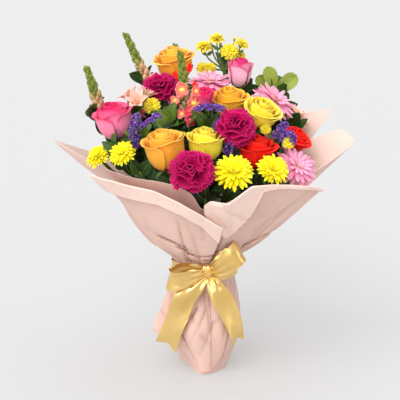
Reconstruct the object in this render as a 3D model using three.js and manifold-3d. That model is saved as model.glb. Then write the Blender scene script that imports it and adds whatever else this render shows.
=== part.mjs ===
// A mixed flower bouquet: hand-tied stems with roses, carnations, daisies and sprays,
// wrapped in four sheets of peach paper cloth and tied at the waist with a gold satin ribbon.
// Millimetres, +Z up, the origin in the middle of the flat foot, the front facing -Y.
import * as THREE from 'three';
import { mergeVertices } from 'three/addons/utils/BufferGeometryUtils.js';
import Module from 'manifold-3d';

const wasm = await Module();
wasm.setup();

// Driving dimensions
const TIE_LOW = 131; // the ribbon lies between these two heights
const TIE_HIGH = 155;
const TIE_R = 39; // radius of the innermost sheet at the tie
const PAPER = 0.8; // thickness of a sheet
const LAYER_GAP = 2.0; // step from one sheet to the next at the tie
const CUFF_GAP = 2.4; // distance of a turned-down cuff from its sheet
const STEM_R = 2.4;
const CUT_Z = 1.2; // height of the cut stem ends, just above the paper foot
const BUNDLE_RING = 20; // distance of each bunch of stems from the middle at the tie
const STEM_PITCH = 3.4; // stems of one bunch are pressed together at the tie
const FOOT_RING = 15.5; // the same at the foot, whose middle lies a little to the right and rear
const FOOT_SHIFT = [5, 6, 0];
const TWINE_R = 31.4; // radius of the twine round all the stems
const PETAL = 0.9; // thickness of a petal
const LEAF = 0.8; // thickness of a leaf
const SEAT_GAP = 0.3; // between a flower and the cup that it sits on

const COLOURS = {
  paper: 0xe8c3ad,
  ribbon: 0xd9b45a,
  green: 0x3f6b2a,
  orange: 0xf79a2b,
  amber: 0xfbb62c,
  yellow: 0xf9dc2e,
  pink: 0xe8427f,
  magenta: 0xd81f68,
  red: 0xe2231f,
  purple: 0xa3136f,
  daisy: 0xf6e21b,
  gerbera: 0xf29ab6,
  peach: 0xf2a48c,
  violet: 0x5b3aa6,
  spike: 0x7c8f3a,
  twine: 0xc9b48a,
};

// The flowers: kind, place of the heart, the way it faces, radius and colour.
const BLOOMS = {
  rose_orange_back: ['rose', [-41, 58, 412], [-0.12, -0.05, 1], 28, 'orange'],
  rose_pink_left: ['rose', [-120, -22, 350], [-0.3, -0.35, 0.9], 28, 'pink'],
  rose_orange_front: ['rose', [-52, -81, 325], [-0.15, -0.6, 0.8], 29, 'orange'],
  rose_yellow_front: ['rose', [2, -72, 327], [0.05, -0.6, 0.8], 25, 'yellow'],
  rose_red_front: ['rose', [69, -56, 317], [0.15, -0.5, 0.85], 25, 'red'],
  rose_red_right: ['rose', [122, -6, 320], [0.6, -0.4, 0.7], 20, 'red'],
  rose_pink_back: ['bud', [49, 34, 403], [0.08, -0.12, 1], 18, 'pink'],
  rose_amber_right: ['rose', [33, -12, 373], [0.1, -0.4, 0.9], 25, 'amber'],
  rose_yellow_right: ['rose', [75, -28, 361], [0.35, -0.5, 0.8], 25, 'yellow'],
  rose_magenta_small: ['bud', [1, -32, 381], [0, -0.45, 0.9], 13, 'magenta'],
  rose_pink_rear: ['rose', [-62, 92, 338], [-0.4, 0.6, 0.75], 26, 'pink'],
  rose_red_rear: ['rose', [62, 98, 328], [0.4, 0.6, 0.75], 26, 'red'],
  carnation_back: ['carnation', [-59, 17, 388], [-0.2, -0.4, 0.9], 23, 'purple'],
  carnation_front: ['carnation', [-16, -125, 309], [-0.05, -0.7, 0.7], 29, 'purple'],
  carnation_right: ['carnation', [41, -70, 353], [0.1, -0.6, 0.8], 26, 'purple'],
  carnation_rear: ['carnation', [2, 108, 352], [0, 0.6, 0.8], 26, 'purple'],
  daisy_front: ['daisy', [37, -107, 299], [0.05, -0.65, 0.76], 27, 'daisy'],
  daisy_front_right: ['daisy', [88, -93, 299], [0.3, -0.6, 0.7], 22, 'daisy'],
  daisy_left_outer: ['daisy', [-139, -40, 304], [-0.5, -0.45, 0.75], 18, 'daisy'],
  daisy_left_inner: ['daisy', [-106, -62, 313], [-0.3, -0.6, 0.75], 19, 'daisy'],
  daisy_rear: ['daisy', [-118, 66, 318], [-0.6, 0.5, 0.8], 22, 'daisy'],
  gerbera_back: ['gerbera', [9, 34, 387], [0.05, -0.3, 0.95], 26, 'gerbera'],
  gerbera_right: ['gerbera', [94, 23, 365], [0.5, -0.25, 0.8], 28, 'gerbera'],
  gerbera_low_right: ['gerbera', [121, -58, 294], [0.45, -0.55, 0.75], 26, 'gerbera'],
};

// Sprays: kind, foot of the spray, the way it points, length and colour.
const SPRAYS = {
  snapdragon_left: ['snapdragon', [-138, 14, 350], [-0.27, 0, 1], 68, 'spike'],
  snapdragon_middle: ['snapdragon', [-76, 42, 386], [-0.46, -0.02, 1], 76, 'spike'],
  snapdragon_front: ['snapdragon', [-21, -30, 352], [-0.15, 0.02, 1], 84, 'spike'],
  snapdragon_rear: ['snapdragon', [-32, 96, 358], [-0.12, 0.25, 1], 70, 'spike'],
  alstroemeria_left: ['alstroemeria', [-86, 0, 356], [-0.05, -0.2, 1], 28, 'peach'],
  alstroemeria_rear: ['alstroemeria', [114, 57, 322], [0.5, 0.45, 0.8], 28, 'peach'],
  daisy_spray_top: ['daisies', [28, 66, 398], [0.1, 0, 1], 50, 'daisy'],
  statice_left: ['statice', [-75, -44, 324], [-0.02, -0.1, 1], 31, 'violet'],
  statice_middle: ['statice', [4, -50, 350], [0.02, -0.2, 1], 26, 'violet'],
  statice_right: ['statice', [109, -35, 311], [0.25, -0.2, 1], 32, 'violet'],
  statice_rear: ['statice', [27, 111, 306], [0.1, 0.35, 0.95], 30, 'violet'],
};

// Leafy stems: tip, the way it points, number of leaves, length and width of a leaf.
const LEAFY = {
  leaves_top_right: [[98, 77, 363], [0.6, 0.05, 0.8], 4, 38, 24],
  leaves_low_left: [[-84, -78, 292], [-0.45, -0.6, 0.7], 5, 34, 17],
  leaves_front: [[2, -102, 264], [0.05, -0.6, 0.6], 4, 30, 16],
  leaves_middle_left: [[-43, -34, 350], [-0.15, -0.4, 0.9], 4, 26, 16],
  leaves_rear_left: [[-84, 104, 318], [-0.4, 0.5, 0.8], 4, 36, 18],
  leaves_rear_right: [[103, 90, 303], [0.5, 0.4, 0.8], 4, 34, 18],
  leaves_left: [[-108, 30, 318], [-0.4, 0.3, 0.9], 4, 32, 16],
};

// The rims of the sheets, each point [x, y, z] in turn round the bouquet.
const RIMS = {
  inner: [[206, 0, 314], [188, 33, 325], [146, 46, 306], [122, 78, 296], [62, 112, 290], [0, 122, 288],
    [-58, 112, 284], [-116, 92, 284], [-160, 58, 288], [-208, 0, 317], [-150, -28, 293], [-128, -52, 289],
    [-100, -80, 286], [-66, -100, 285], [-34, -112, 281], [-16, -116, 272], [-4, -112, 250], [12, -112, 252],
    [40, -110, 264], [70, -98, 272], [110, -73, 272], [150, -40, 284]],
  back: [[178, 65, 347], [150, 90, 336], [120, 112, 325], [62, 148, 334], [0, 158, 338],
    [-60, 144, 322], [-102, 121, 298]],
  left: [[-150, -55, 282], [-116, -92, 282], [-90, -112, 280], [-66, -120, 276], [-30, -130, 262],
    [-8, -132, 250], [24, -128, 228]],
  right: [[-2, -124, 256], [8, -130, 266], [30, -130, 262], [61, -126, 284], [88, -116, 283],
    [112, -100, 279], [140, -76, 271], [156, -56, 262]],
};

// Height, depth of the gathers and radii every 45 degrees from +X of the innermost sheet.
const SKIRT = [
  [PAPER / 2, 0, [30, 44, 45, 44, 25, 24, 41, 31]],
  [20, 1.2, [41, 48, 50, 50, 38, 37, 47, 42]],
  [60, 3.2, [49, 54, 57, 58, 55, 54, 54, 51]],
  [100, 2.6, [47, 49, 50, 50, 48, 48, 48, 47]],
  [TIE_LOW, 1, [40, 40, 39, 39, 38, 39, 40, 40]],
  [TIE_HIGH, 1, [40, 40, 39, 39, 38, 39, 40, 40]],
];

const { lerp } = THREE.MathUtils;
const GOLDEN = 2.39996; // turn from one petal or bud to the next, in radians
const UP = new THREE.Vector3(0, 0, 1);
const vec = (x, y, z) => new THREE.Vector3(x, y, z);
const polar = (angle, radius, z) => vec(radius * Math.cos(angle), radius * Math.sin(angle), z);

// A repeatable draw between -1 and 1.
function seeded(seed) {
  let state = seed;
  return () => {
    state = (state * 1664525 + 1013904223) % 4294967296;
    return state / 2147483648 - 1;
  };
}

// A closed solid from vertices and triangles; vertices in one place are joined first.
function solid(vertices, triangles) {
  const geometry = new THREE.BufferGeometry().setFromPoints(vertices);
  geometry.setIndex(triangles.flat());
  const merged = mergeVertices(geometry, 1e-4);
  const kept = [];
  for (let i = 0; i < merged.index.count; i += 3) {
    const [a, b, c] = [0, 1, 2].map((k) => merged.index.getX(i + k));
    if (a !== b && b !== c && c !== a) kept.push([a, b, c]);
  }
  const build = (faces) => new wasm.Manifold(new wasm.Mesh({
    numProp: 3,
    vertProperties: merged.attributes.position.array,
    triVerts: new Uint32Array(faces.flat()),
  }));
  const made = build(kept);
  return made.volume() >= 0 ? made : build(kept.map(([a, b, c]) => [a, c, b]));
}

const fuse = (solids) => wasm.Manifold.union(solids);

// A closed skin over rings of equally many points, between a first and a last pole.
function skin(first, rings, last) {
  const n = rings[0].length;
  const vertices = [first, ...rings.flat(), last];
  const end = vertices.length - 1;
  const triangles = [];
  for (let i = 0; i < n; i++) {
    const next = (i + 1) % n;
    triangles.push([0, 1 + next, 1 + i], [end, end - n + i, end - n + next]);
    for (let j = 0; j < rings.length - 1; j++) {
      const [a, b] = [1 + j * n + i, 1 + j * n + next];
      triangles.push([a, b, b + n], [a, b + n, a + n]);
    }
  }
  return solid(vertices, triangles);
}

// A plate of even thickness about a grid of points; ring joins the last column to the first, and
// the first rows, if named as level, keep level faces.
function plate(rows, thickness, ring = false, level = 0) {
  const count = rows[0].length;
  const columns = ring ? count : count - 1;
  const normals = rows.map((row) => row.map(() => vec(0, 0, 0)));
  const cell = (j, i) => [[j, i], [j, (i + 1) % count], [j + 1, (i + 1) % count], [j + 1, i]];
  for (let j = 0; j < rows.length - 1; j++) {
    for (let i = 0; i < columns; i++) {
      const [a, b, c, d] = cell(j, i).map(([y, x]) => rows[y][x]);
      const n = vec(0, 0, 0).crossVectors(c.clone().sub(a), d.clone().sub(b)).normalize();
      for (const [y, x] of cell(j, i)) normals[y][x].add(n);
    }
  }
  normals.flat().forEach((n) => n.normalize());
  normals.slice(0, level).flat().forEach((n) => n.divideScalar(Math.abs(n.z)));
  const offset = (side) => rows.flatMap((row, j) => row.map((p, i) => p.clone()
    .addScaledVector(normals[j][i], side * thickness / 2)));
  const vertices = [...offset(1), ...offset(-1)];
  const under = rows.length * count;
  const at = ([j, i]) => j * count + i;
  const triangles = [];
  const rim = (p, q) => triangles.push([p, q, q + under], [p, q + under, p + under]);
  for (let j = 0; j < rows.length - 1; j++) {
    for (let i = 0; i < columns; i++) {
      const [a, b, c, d] = cell(j, i).map(at);
      triangles.push([a, b, c], [a, c, d]);
      triangles.push([a + under, c + under, b + under], [a + under, d + under, c + under]);
      if (j === 0) rim(b, a);
      if (j === rows.length - 2) rim(d, c);
      if (!ring && i === 0) rim(a, d);
      if (!ring && i === columns - 1) rim(c, b);
    }
  }
  return solid(vertices, triangles);
}

// Two directions square to an axis and to each other.
function frameOf(axis) {
  const side = vec(0, 0, 0).crossVectors(axis, Math.abs(axis.z) < 0.95 ? UP : vec(1, 0, 0)).normalize();
  return [side, vec(0, 0, 0).crossVectors(axis, side)];
}

// A point on a circle about a place, in the plane of two directions.
const onCircle = (place, side, other, radius, angle) => place.clone()
  .addScaledVector(side, radius * Math.cos(angle))
  .addScaledVector(other, radius * Math.sin(angle));

// A twig or stem through the given points, its ends closed by flat caps; radii may follow the points.
function twig(points, rootRadius, tipRadius, radii = [], sides = 4) {
  const last = points.length - 1;
  const rings = points.map((p, j) => {
    const way = points[Math.min(last, j + 1)].clone().sub(points[Math.max(0, j - 1)]).normalize();
    const side = vec(1, 0, 0).addScaledVector(way, -way.x).normalize();
    const other = vec(0, 0, 0).crossVectors(way, side);
    const radius = radii[j] ?? lerp(rootRadius, tipRadius, j / last);
    return Array.from({ length: sides }, (_, i) => {
      const a = 2 * Math.PI * i / sides;
      return onCircle(p, side, other, radius, a);
    });
  });
  return skin(points[0], rings, points[last]);
}

// A bud or floret: a swelling between two points.
function pod(root, direction, length, radius, sides = 3) {
  const axis = direction.clone().normalize();
  const [side, other] = frameOf(axis);
  const middle = root.clone().addScaledVector(axis, length * 0.6);
  const ring = Array.from({ length: sides }, (_, i) => {
    const a = 2 * Math.PI * i / sides;
    return onCircle(middle, side, other, radius, a);
  });
  return skin(root, [ring], root.clone().addScaledVector(axis, length));
}

// Turns and moves a solid modelled about +Z so that +Z points along direction at place.
function stand(made, place, direction) {
  const turn = new THREE.Quaternion().setFromUnitVectors(UP, direction.clone().normalize());
  return made.transform(new THREE.Matrix4().compose(place, turn, vec(1, 1, 1)).elements);
}

// A ring of petals whose edges overlap in turn, as [radius, height, petals, phase, notch, step].
function petalRing(columns, scale, [r, z, petals = 0, phase = 0, notch = 0, step = 0], inward = 0) {
  return Array.from({ length: columns }, (_, i) => {
    const u = petals ? (i * petals / columns + phase) % 1 : 0.5;
    const dip = petals ? notch * (1 - Math.sin(Math.PI * u)) : 0;
    const reach = (r - 0.5 * dip + step * (u - 0.5)) * scale - inward;
    return polar(2 * Math.PI * i / columns, reach, (z - dip) * scale);
  });
}

// A rose: whorls of petals one inside the next, cut at their lips by deep notches.
function rose(radius, whorls) {
  const N = 12;
  const rings = [petalRing(N, radius, [0.3, whorls.base])];
  for (const { belly, lip, valley } of whorls.layers) {
    if (belly) rings.push(petalRing(N, radius, belly));
    rings.push(petalRing(N, radius, lip), petalRing(N, radius, lip, 1.5 * PETAL));
    rings.push(petalRing(N, radius, valley));
  }
  return skin(vec(0, 0, whorls.base * radius), rings, vec(0, 0, whorls.eye * radius));
}

const ROSE = {
  base: -0.85,
  eye: 0.42,
  layers: [
    { belly: [0.84, -0.2], lip: [1, 0.32, 4, 0.1, 0.3, 0.14], valley: [0.68, -0.06] },
    { lip: [0.76, 0.52, 4, 0.6, 0.26, 0.12], valley: [0.44, 0.12] },
    { lip: [0.46, 0.66, 3, 0.2, 0.22, 0.1], valley: [0.16, 0.36] },
  ],
};
const BUD = {
  base: -1.25,
  eye: 0.8,
  layers: [
    { belly: [0.9, -0.3], lip: [0.98, 0.72, 4, 0.1, 0.4, 0.16], valley: [0.6, 0.2] },
    { lip: [0.6, 0.98, 3, 0.4, 0.26, 0.14], valley: [0.26, 0.6] },
  ],
};

// A carnation: frilled rings that stand out of one another up to the crown.
function carnation(radius) {
  const N = 12;
  const draw = seeded(7);
  const frill = (r, z, lift) => {
    const outer = Array.from({ length: N }, (_, i) => {
      const wave = (i % 2 ? 1 : -1) * 0.07 + 0.06 * draw();
      return [2 * Math.PI * i / N, (r + wave) * radius, (z + lift * wave) * radius];
    });
    return [outer.map(([a, q, h]) => polar(a, q, h)),
      outer.map(([a, q, h]) => polar(a, q - 1.4 * PETAL * (1 - lift * 0.2), h + PETAL * 0.8))];
  };
  const plain = (r, z) => petalRing(N, radius, [r, z]);
  return skin(vec(0, 0, -0.7 * radius), [
    plain(0.28, -0.7), plain(0.5, -0.34),
    ...frill(0.98, -0.16, 1), plain(0.66, 0), ...frill(0.9, 0.28, 1.4), plain(0.52, 0.2),
    ...frill(0.6, 0.56, 1.8), plain(0.26, 0.36),
  ], vec(0, 0, 0.68 * radius));
}

// A ring of ray petals as one star: each petal has a blunt end, or a pointed one.
function star(count, { root, reach, under, over, rise, turn = 0, blunt = false }) {
  const corners = [];
  for (let k = 0; k < count; k++) {
    const a = 2 * Math.PI * k / count + turn;
    const pitch = 2 * Math.PI / count;
    corners.push([a, root, 0]);
    if (blunt) corners.push([a + 0.32 * pitch, reach, rise], [a + 0.68 * pitch, reach, rise]);
    else corners.push([a + 0.5 * pitch, reach, rise]);
  }
  const ring = (z) => corners.map(([a, r, h]) => polar(a, r, h + z));
  return skin(vec(0, 0, under), [ring(-PETAL / 2), ring(PETAL / 2)], vec(0, 0, over));
}

function daisy(radius) {
  const share = (k) => k * radius;
  const upper = star(8, { root: share(0.34), reach: share(0.78), under: -share(0.2), over: share(0.16),
    rise: share(0.14), turn: 0.2 });
  return fuse([
    star(12, { root: share(0.26), reach: radius, under: -share(0.3), over: share(0.1), rise: 0,
      blunt: true }),
    upper.translate([0, 0, share(0.16)]),
  ]);
}

function gerbera(radius) {
  const share = (k) => k * radius;
  const upper = star(8, { root: share(0.3), reach: share(0.72), under: -share(0.22), over: share(0.04),
    rise: share(0.2), turn: 0.3 });
  return fuse([
    star(12, { root: share(0.24), reach: radius, under: -share(0.28), over: share(0.08), rise: share(0.08),
      blunt: true }),
    upper.translate([0, 0, share(0.16)]),
  ]);
}

const BLOOM_MAKERS = {
  rose: (radius) => rose(radius, ROSE),
  bud: (radius) => rose(radius, BUD),
  carnation,
  daisy,
  gerbera,
};

// Depth of the foot of a bloom under its heart, as a share of its radius.
const DEPTH = { rose: 0.85, bud: 1.25, carnation: 0.7, daisy: 0.3, gerbera: 0.28 };

// A snapdragon spike: buds wind round the stalk, small at the tip and large below.
function snapdragon(length) {
  const buds = 14;
  const pieces = [twig([vec(0, 0, 0), vec(0, 0, length * 0.5), vec(0, 0, length)], 2.6, 1.2)];
  for (let k = 0; k < buds; k++) {
    const share = k / (buds - 1);
    const size = lerp(16, 8, share);
    const z = lerp(3, length * 0.92, share);
    pieces.push(pod(vec(0, 0, z), polar(k * GOLDEN, 1, lerp(0.5, 1.5, share)), size, size * 0.36));
  }
  return fuse(pieces);
}

// The short foot of a forked spray, from which its twigs part.
const STUB = 5;
const stub = () => twig([vec(0, 0, 0), vec(0, 0, STUB)], 2.4, 2.4);

// Alstroemeria: three open funnels of six petals on short stalks.
function alstroemeria(length) {
  const pieces = [];
  for (let k = 0; k < 3; k++) {
    const lean = polar(0.5 + 2 * Math.PI * k / 3, 1, 1).normalize();
    const heart = lean.clone().multiplyScalar(length * 0.66);
    const flower = star(6, { root: 4, reach: length * 0.5, under: -length * 0.3, over: -length * 0.1,
      rise: length * 0.26, turn: k });
    const under = heart.clone().addScaledVector(lean, -length * 0.2);
    pieces.push(twig([vec(0, 0, STUB / 2), under], 2, 1.5, [], 3));
    pieces.push(stand(flower, heart, lean));
  }
  return fuse([stub(), ...pieces]);
}

// Small daisies on forked twigs: [across, to the rear, up, radius] of each head at full length.
function daisies(length) {
  const heads = [[-34, 0, 26, 12], [-17, -5, 42, 11], [1, 5, 28, 13], [18, -4, 38, 11]];
  const scale = length / 50;
  const pieces = [];
  for (const [x, y, z, r] of heads) {
    const heart = vec(x, y, z).multiplyScalar(scale);
    const lean = vec(x, y, 60).normalize();
    const head = star(7, { root: 0.34 * r, reach: r, under: -0.5 * r, over: 0.4 * r, rise: 0.1 * r });
    pieces.push(twig([vec(0, 0, STUB / 2), vec(x * 0.4, y * 0.4, z * 0.4).multiplyScalar(scale),
      heart.clone().addScaledVector(lean, -0.2 * r * scale)], 1.8, 1.3, [], 3));
    pieces.push(stand(head.scale(scale), heart, lean));
  }
  return fuse([stub(), ...pieces]);
}

// Statice: forked twigs that end in tufts of pointed papery florets.
function statice(length) {
  const tufts = [[0.3, 0.74], [0.64, 0.56], [0.66, 0.6]];
  const pieces = [];
  tufts.forEach(([out, up], k) => {
    const heart = polar(0.4 + k * 2.1, out * length, up * length);
    const lean = heart.clone().normalize();
    const fork = heart.clone().multiply(vec(0.45, 0.45, 0.55));
    pieces.push(twig([vec(0, 0, STUB / 2), fork, heart], 1.7, 1.4, [], 3));
    const florets = 5;
    const ring = (low, high, r) => Array.from({ length: 2 * florets }, (_, i) => (
      polar(Math.PI * i / florets, (i % 2 ? 1 : 0.42) * r * length, (i % 2 ? high : low) * length)));
    pieces.push(stand(skin(vec(0, 0, -0.12 * length), [ring(-0.02, 0.14, 0.24), ring(0.06, 0.26, 0.14)],
      vec(0, 0, 0.12 * length)), heart, lean));
  });
  return fuse([stub(), ...pieces]);
}

const SPRAY_MAKERS = { snapdragon, alstroemeria, daisies, statice };

// A pointed oval leaf, hollow along its rib.
function leaf(root, direction, length, width) {
  const along = direction.clone().normalize();
  const [side, down] = frameOf(along);
  const point = (s, across, lift) => root.clone().addScaledVector(along, s * length)
    .addScaledVector(side, across * width).addScaledVector(down, -lift * width);
  const outline = [[0, 0, 0], [0.28, -0.4, 0.12], [0.66, -0.42, 0.1], [1, 0, -0.1], [0.66, 0.42, 0.1],
    [0.28, 0.4, 0.12]];
  const face = (z) => outline.map(([s, c, h]) => point(s, c, h + z / width));
  return skin(point(0.48, 0, -0.04 - LEAF / 2 / width), [face(-LEAF / 2), face(LEAF / 2)],
    point(0.48, 0, -0.04 + LEAF / 2 / width));
}

// Where each stem ends: the point under its flower, the way it arrives, its cup and its leaves.
function seats() {
  const blooms = Object.values(BLOOMS).map(([kind, heart, facing, radius]) => {
    const axis = vec(...facing).normalize();
    const foot = vec(...heart).addScaledVector(axis, -DEPTH[kind] * radius);
    return { foot, axis, cup: 0.27 * radius };
  });
  const sprays = Object.values(SPRAYS).map(([, foot, facing]) => (
    { foot: vec(...foot), axis: vec(...facing).normalize(), cup: 2.6 }));
  const leafy = Object.values(LEAFY).map(([tip, facing, count, length, width]) => (
    { foot: vec(...tip), axis: vec(...facing).normalize(), leaves: { count, length, width } }));
  return [...blooms, ...sprays, ...leafy];
}

const SECTORS = ['back_right', 'back', 'back_left', 'front_left', 'front', 'front_right'];
const sectorOf = (p) => Math.floor(((Math.atan2(p.y, p.x) * 180 / Math.PI + 360) % 360) / 60);

// Places of stems pressed together at the tie: a middle one, then rings of six and twelve.
const PRESSED = [[0, 0], ...[0, 1, 2, 3, 4, 5].map((k) => [1, k * Math.PI / 3]),
  ...Array.from({ length: 12 }, (_, k) => [k % 2 ? 1.732 : 2, k * Math.PI / 6])];

// The stems of one side of the bouquet, pressed together at the tie, with their cups and leaves.
function greens(sector, members) {
  const middle = (30 + 60 * sector) * Math.PI / 180;
  const pieces = members.map(({ foot, axis, cup, leaves }, k) => {
    const [ring, angle] = PRESSED[k];
    const tied = k ? STEM_R : STEM_R * 1.5;
    const spread = polar(angle + middle, ring * STEM_PITCH, 0);
    const tie = polar(middle, BUNDLE_RING, TIE_LOW + 12).add(spread);
    const cut = polar(middle, FOOT_RING, CUT_Z).add(vec(...FOOT_SHIFT)).addScaledVector(spread, 1.35);
    const top = foot.clone().addScaledVector(axis, -SEAT_GAP);
    const neck = top.clone().addScaledVector(axis, cup ? -16 : -26);
    const rise = tie.clone().lerp(neck, 0.5).add(vec(0, 0, 14));
    if (leaves) {
      const stem = twig([cut, tie, rise, neck, top], STEM_R, STEM_R * 0.8, [, tied]);
      return fuse([stem, ...leavesOn(top, neck, axis, leaves)]);
    }
    const swell = top.clone().addScaledVector(axis, -4);
    return twig([cut, tie, rise, neck, swell, top], STEM_R, STEM_R, [, tied, , STEM_R * 0.8, cup, cup * 0.9]);
  });
  return fuse(pieces);
}

// Leaves in turn on both sides of the last stretch of a leafy stem, and one at its tip.
function leavesOn(top, neck, axis, { count, length, width }) {
  const [side] = frameOf(axis);
  const made = [leaf(top.clone().addScaledVector(axis, -3), axis, length, width)];
  for (let k = 1; k < count; k++) {
    const root = top.clone().lerp(neck, 0.2 + 0.75 * (k - 1) / (count - 1));
    made.push(leaf(root, axis.clone().addScaledVector(side, k % 2 ? 1.3 : -1.3), length * 0.9, width));
  }
  return made;
}

// Radius and height of a rim in one direction, on the straight line between its points.
function rimAt(rim, theta, closed) {
  const spots = rim.map(([x, y, z]) => ({ a: Math.atan2(y, x), r: Math.hypot(x, y), z }));
  for (let i = 1; i < spots.length; i++) {
    while (spots[i].a < spots[i - 1].a) spots[i].a += 2 * Math.PI;
  }
  if (closed) spots.push({ ...spots[0], a: spots[0].a + 2 * Math.PI });
  let t = theta;
  while (t < spots[0].a - 0.6) t += 2 * Math.PI;
  while (t > spots.at(-1).a + 0.6) t -= 2 * Math.PI;
  let i = 1;
  while (i < spots.length - 1 && spots[i].a < t) i += 1;
  const share = Math.min(1, Math.max(0, (t - spots[i - 1].a) / (spots[i].a - spots[i - 1].a)));
  return { r: lerp(spots[i - 1].r, spots[i].r, share), z: lerp(spots[i - 1].z, spots[i].z, share) };
}

// The innermost sheet up to the top of the tie; the other sheets lie a step outside it.
function skirt(theta, z, out) {
  let i = 1;
  while (i < SKIRT.length - 1 && SKIRT[i][0] < z) i += 1;
  const share = (z - SKIRT[i - 1][0]) / (SKIRT[i][0] - SKIRT[i - 1][0]);
  const turn = (theta / (2 * Math.PI) % 1 + 1) % 1 * 8;
  const from = Math.floor(turn);
  const radius = ([, depth, radii]) => lerp(radii[from % 8], radii[(from + 1) % 8], turn - from)
    + depth * Math.cos(7 * theta + 0.6);
  return polar(theta, lerp(radius(SKIRT[i - 1]), radius(SKIRT[i]), share) + out, z);
}

const STEPS = 36; // columns of a sheet in a full turn

// A sheet: rows from its lower hem through the tie to its rim, then a turned-down cuff.
function sheet({ rim, layer, from = 0, to = STEPS, hem, puff = () => 0, wing = () => 0, cuff }) {
  const closed = to - from === STEPS;
  const columns = Array.from({ length: to - from + (closed ? 0 : 1) }, (_, i) => from + i);
  const out = layer * LAYER_GAP;
  const along = (column) => (column - from) / (to - from);
  const rows = [];
  const row = (point) => rows.push(columns.map((c) => point(2 * Math.PI * c / STEPS, along(c))));
  if (closed) {
    row(() => vec(0, 0, PAPER / 2));
    for (const [z] of SKIRT.slice(0, 4)) row((theta) => skirt(theta, z, out));
  } else {
    row((theta, u) => skirt(theta, hem(u), out + wing(u)));
    row((theta, u) => skirt(theta, 60 + 0.5 * Math.max(0, hem(u) - 40), out + 0.8 * wing(u)));
    row((theta, u) => skirt(theta, 100, out + 0.25 * wing(u)));
  }
  for (const z of [TIE_LOW, TIE_HIGH]) row((theta) => skirt(theta, z, out));
  const flare = (theta, t, bulge = 0) => {
    const foot = skirt(theta, TIE_HIGH, out);
    const { r, z } = rimAt(RIMS[rim], theta, closed);
    return polar(theta, lerp(Math.hypot(foot.x, foot.y), r, t) + bulge, lerp(TIE_HIGH, z, t));
  };
  if (!closed) row((theta, u) => flare(theta, 0.16, puff(u)));
  row((theta, u) => flare(theta, 0.5, closed ? 2 * Math.cos(5 * theta + 0.9) - 2 : 0.9 * puff(u)));
  row((theta) => flare(theta, 1));
  if (cuff) {
    row((theta, u) => flare(theta, 1).add(polar(theta, CUFF_GAP, 0.6 * Math.min(1, cuff(u)))));
    row((theta, u) => {
      const edge = flare(theta, 1);
      const drop = cuff(u);
      const r = Math.hypot(edge.x, edge.y);
      const slope = (r - TIE_R - out) / (edge.z - TIE_HIGH);
      return polar(theta, r - drop * slope * 0.85 + 1.8 * CUFF_GAP, edge.z - drop);
    });
  }
  return plate(rows, PAPER, closed, closed ? 2 : 0);
}

const SHEETS = {
  wrap_inner_sheet: { rim: 'inner', layer: 0 },
  wrap_back_sheet: {
    rim: 'back', layer: 1, from: 2, to: 13, hem: (u) => 36 - 10 * Math.sin(9 * u),
    puff: (u) => 3 + 2 * Math.cos(14 * u),
  },
  wrap_left_sheet: {
    rim: 'left', layer: 2, from: 20, to: 28, hem: (u) => 26 + 30 * Math.max(0, 1 - 3 * u),
    puff: (u) => 11 - 6 * u, wing: (u) => 12 * Math.max(0, 1 - 3 * u), cuff: (u) => lerp(15, 3, u),
  },
  wrap_right_sheet: {
    rim: 'right', layer: 1, from: 27, to: 34, hem: (u) => 30 + 8 * Math.sin(6 * u), puff: (u) => 2 + 5 * u,
    cuff: (u) => 4 + 34 * Math.exp(-(((u - 0.3) / 0.22) ** 2)),
  },
};

// The ribbon: a strip along a line of [x, y, z, half its width], wide in the given direction.
function strip(line, wide, notch = 0) {
  const rows = line.map(([x, y, z, half], j) => {
    const across = (Array.isArray(wide[0]) ? vec(...wide[j]) : vec(...wide)).normalize();
    return [-1, 0, 1].map((c) => vec(x, y, z).addScaledVector(across, c * half));
  });
  if (notch) rows.at(-1)[1].lerp(rows.at(-2)[1], notch);
  return plate(rows, PAPER);
}

const KNOT = [-1, -52.5, 143];
const NOTCH = 0.35; // depth of the swallow tails, as a share of the last stretch

function ribbon() {
  const columns = Array.from({ length: STEPS }, (_, c) => c);
  const around = (z) => columns.map((c) => (
    skirt(2 * Math.PI * c / STEPS, z, (c > 18 && c < 30 ? 3 : 2) * LAYER_GAP)));
  const band = plate([around(TIE_LOW + 1), around(TIE_HIGH - 1)], PAPER, true);
  const inKnot = (x, y, z) => vec(KNOT[0] + x, KNOT[1] + y, KNOT[2] + z);
  const oval = ([a, b, h]) => Array.from({ length: 8 }, (_, i) => (
    inKnot(a * Math.cos(Math.PI * i / 4), b * Math.sin(Math.PI * i / 4), h)));
  const knot = skin(inKnot(0, 0, -14), [[8, 6, -9], [13, 8, 0], [8, 6, 9]].map(oval), inKnot(0, 0, 14));
  const leftLoop = strip([[-4, -54, 145, 6], [-20, -60, 149, 13], [-36, -60, 147, 16], [-47, -63, 140, 15],
    [-40, -70, 134, 15], [-22, -68, 137, 12], [-4, -58, 142, 6]], [0.1, 0, 1]);
  const rightLoop = strip([[3, -54, 146, 6], [15, -62, 155, 11], [30, -66, 170, 14], [44, -69, 181, 15.5],
    [39, -77, 173, 15], [21, -73, 156, 12], [3, -58, 144, 6]], [-0.62, 0, 0.78]);
  const leftTail = strip([[-4, -56, 136, 7], [-12, -62, 121, 13], [-28, -60, 96, 17], [-42, -54, 68, 17],
    [-54, -42, 38, 17]],
  [[1, 0, 0.3], [1, -0.2, 0.5], [0.9, -0.45, 0.5], [0.8, -0.6, 0.4], [0.65, -0.75, 0.2]], NOTCH);
  const rightTail = strip([[3, -56, 136, 7], [9, -62, 121, 12], [21, -62, 102, 15], [34, -56, 76, 15],
    [43, -50, 40, 15]],
  [[1, 0, 0.2], [1, 0.1, 0.5], [0.9, 0.3, 0.5], [0.75, 0.5, 0.4], [0.6, 0.55, 0.6]], NOTCH);
  return fuse([band, knot, leftLoop, rightLoop, leftTail, rightTail]);
}

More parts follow.
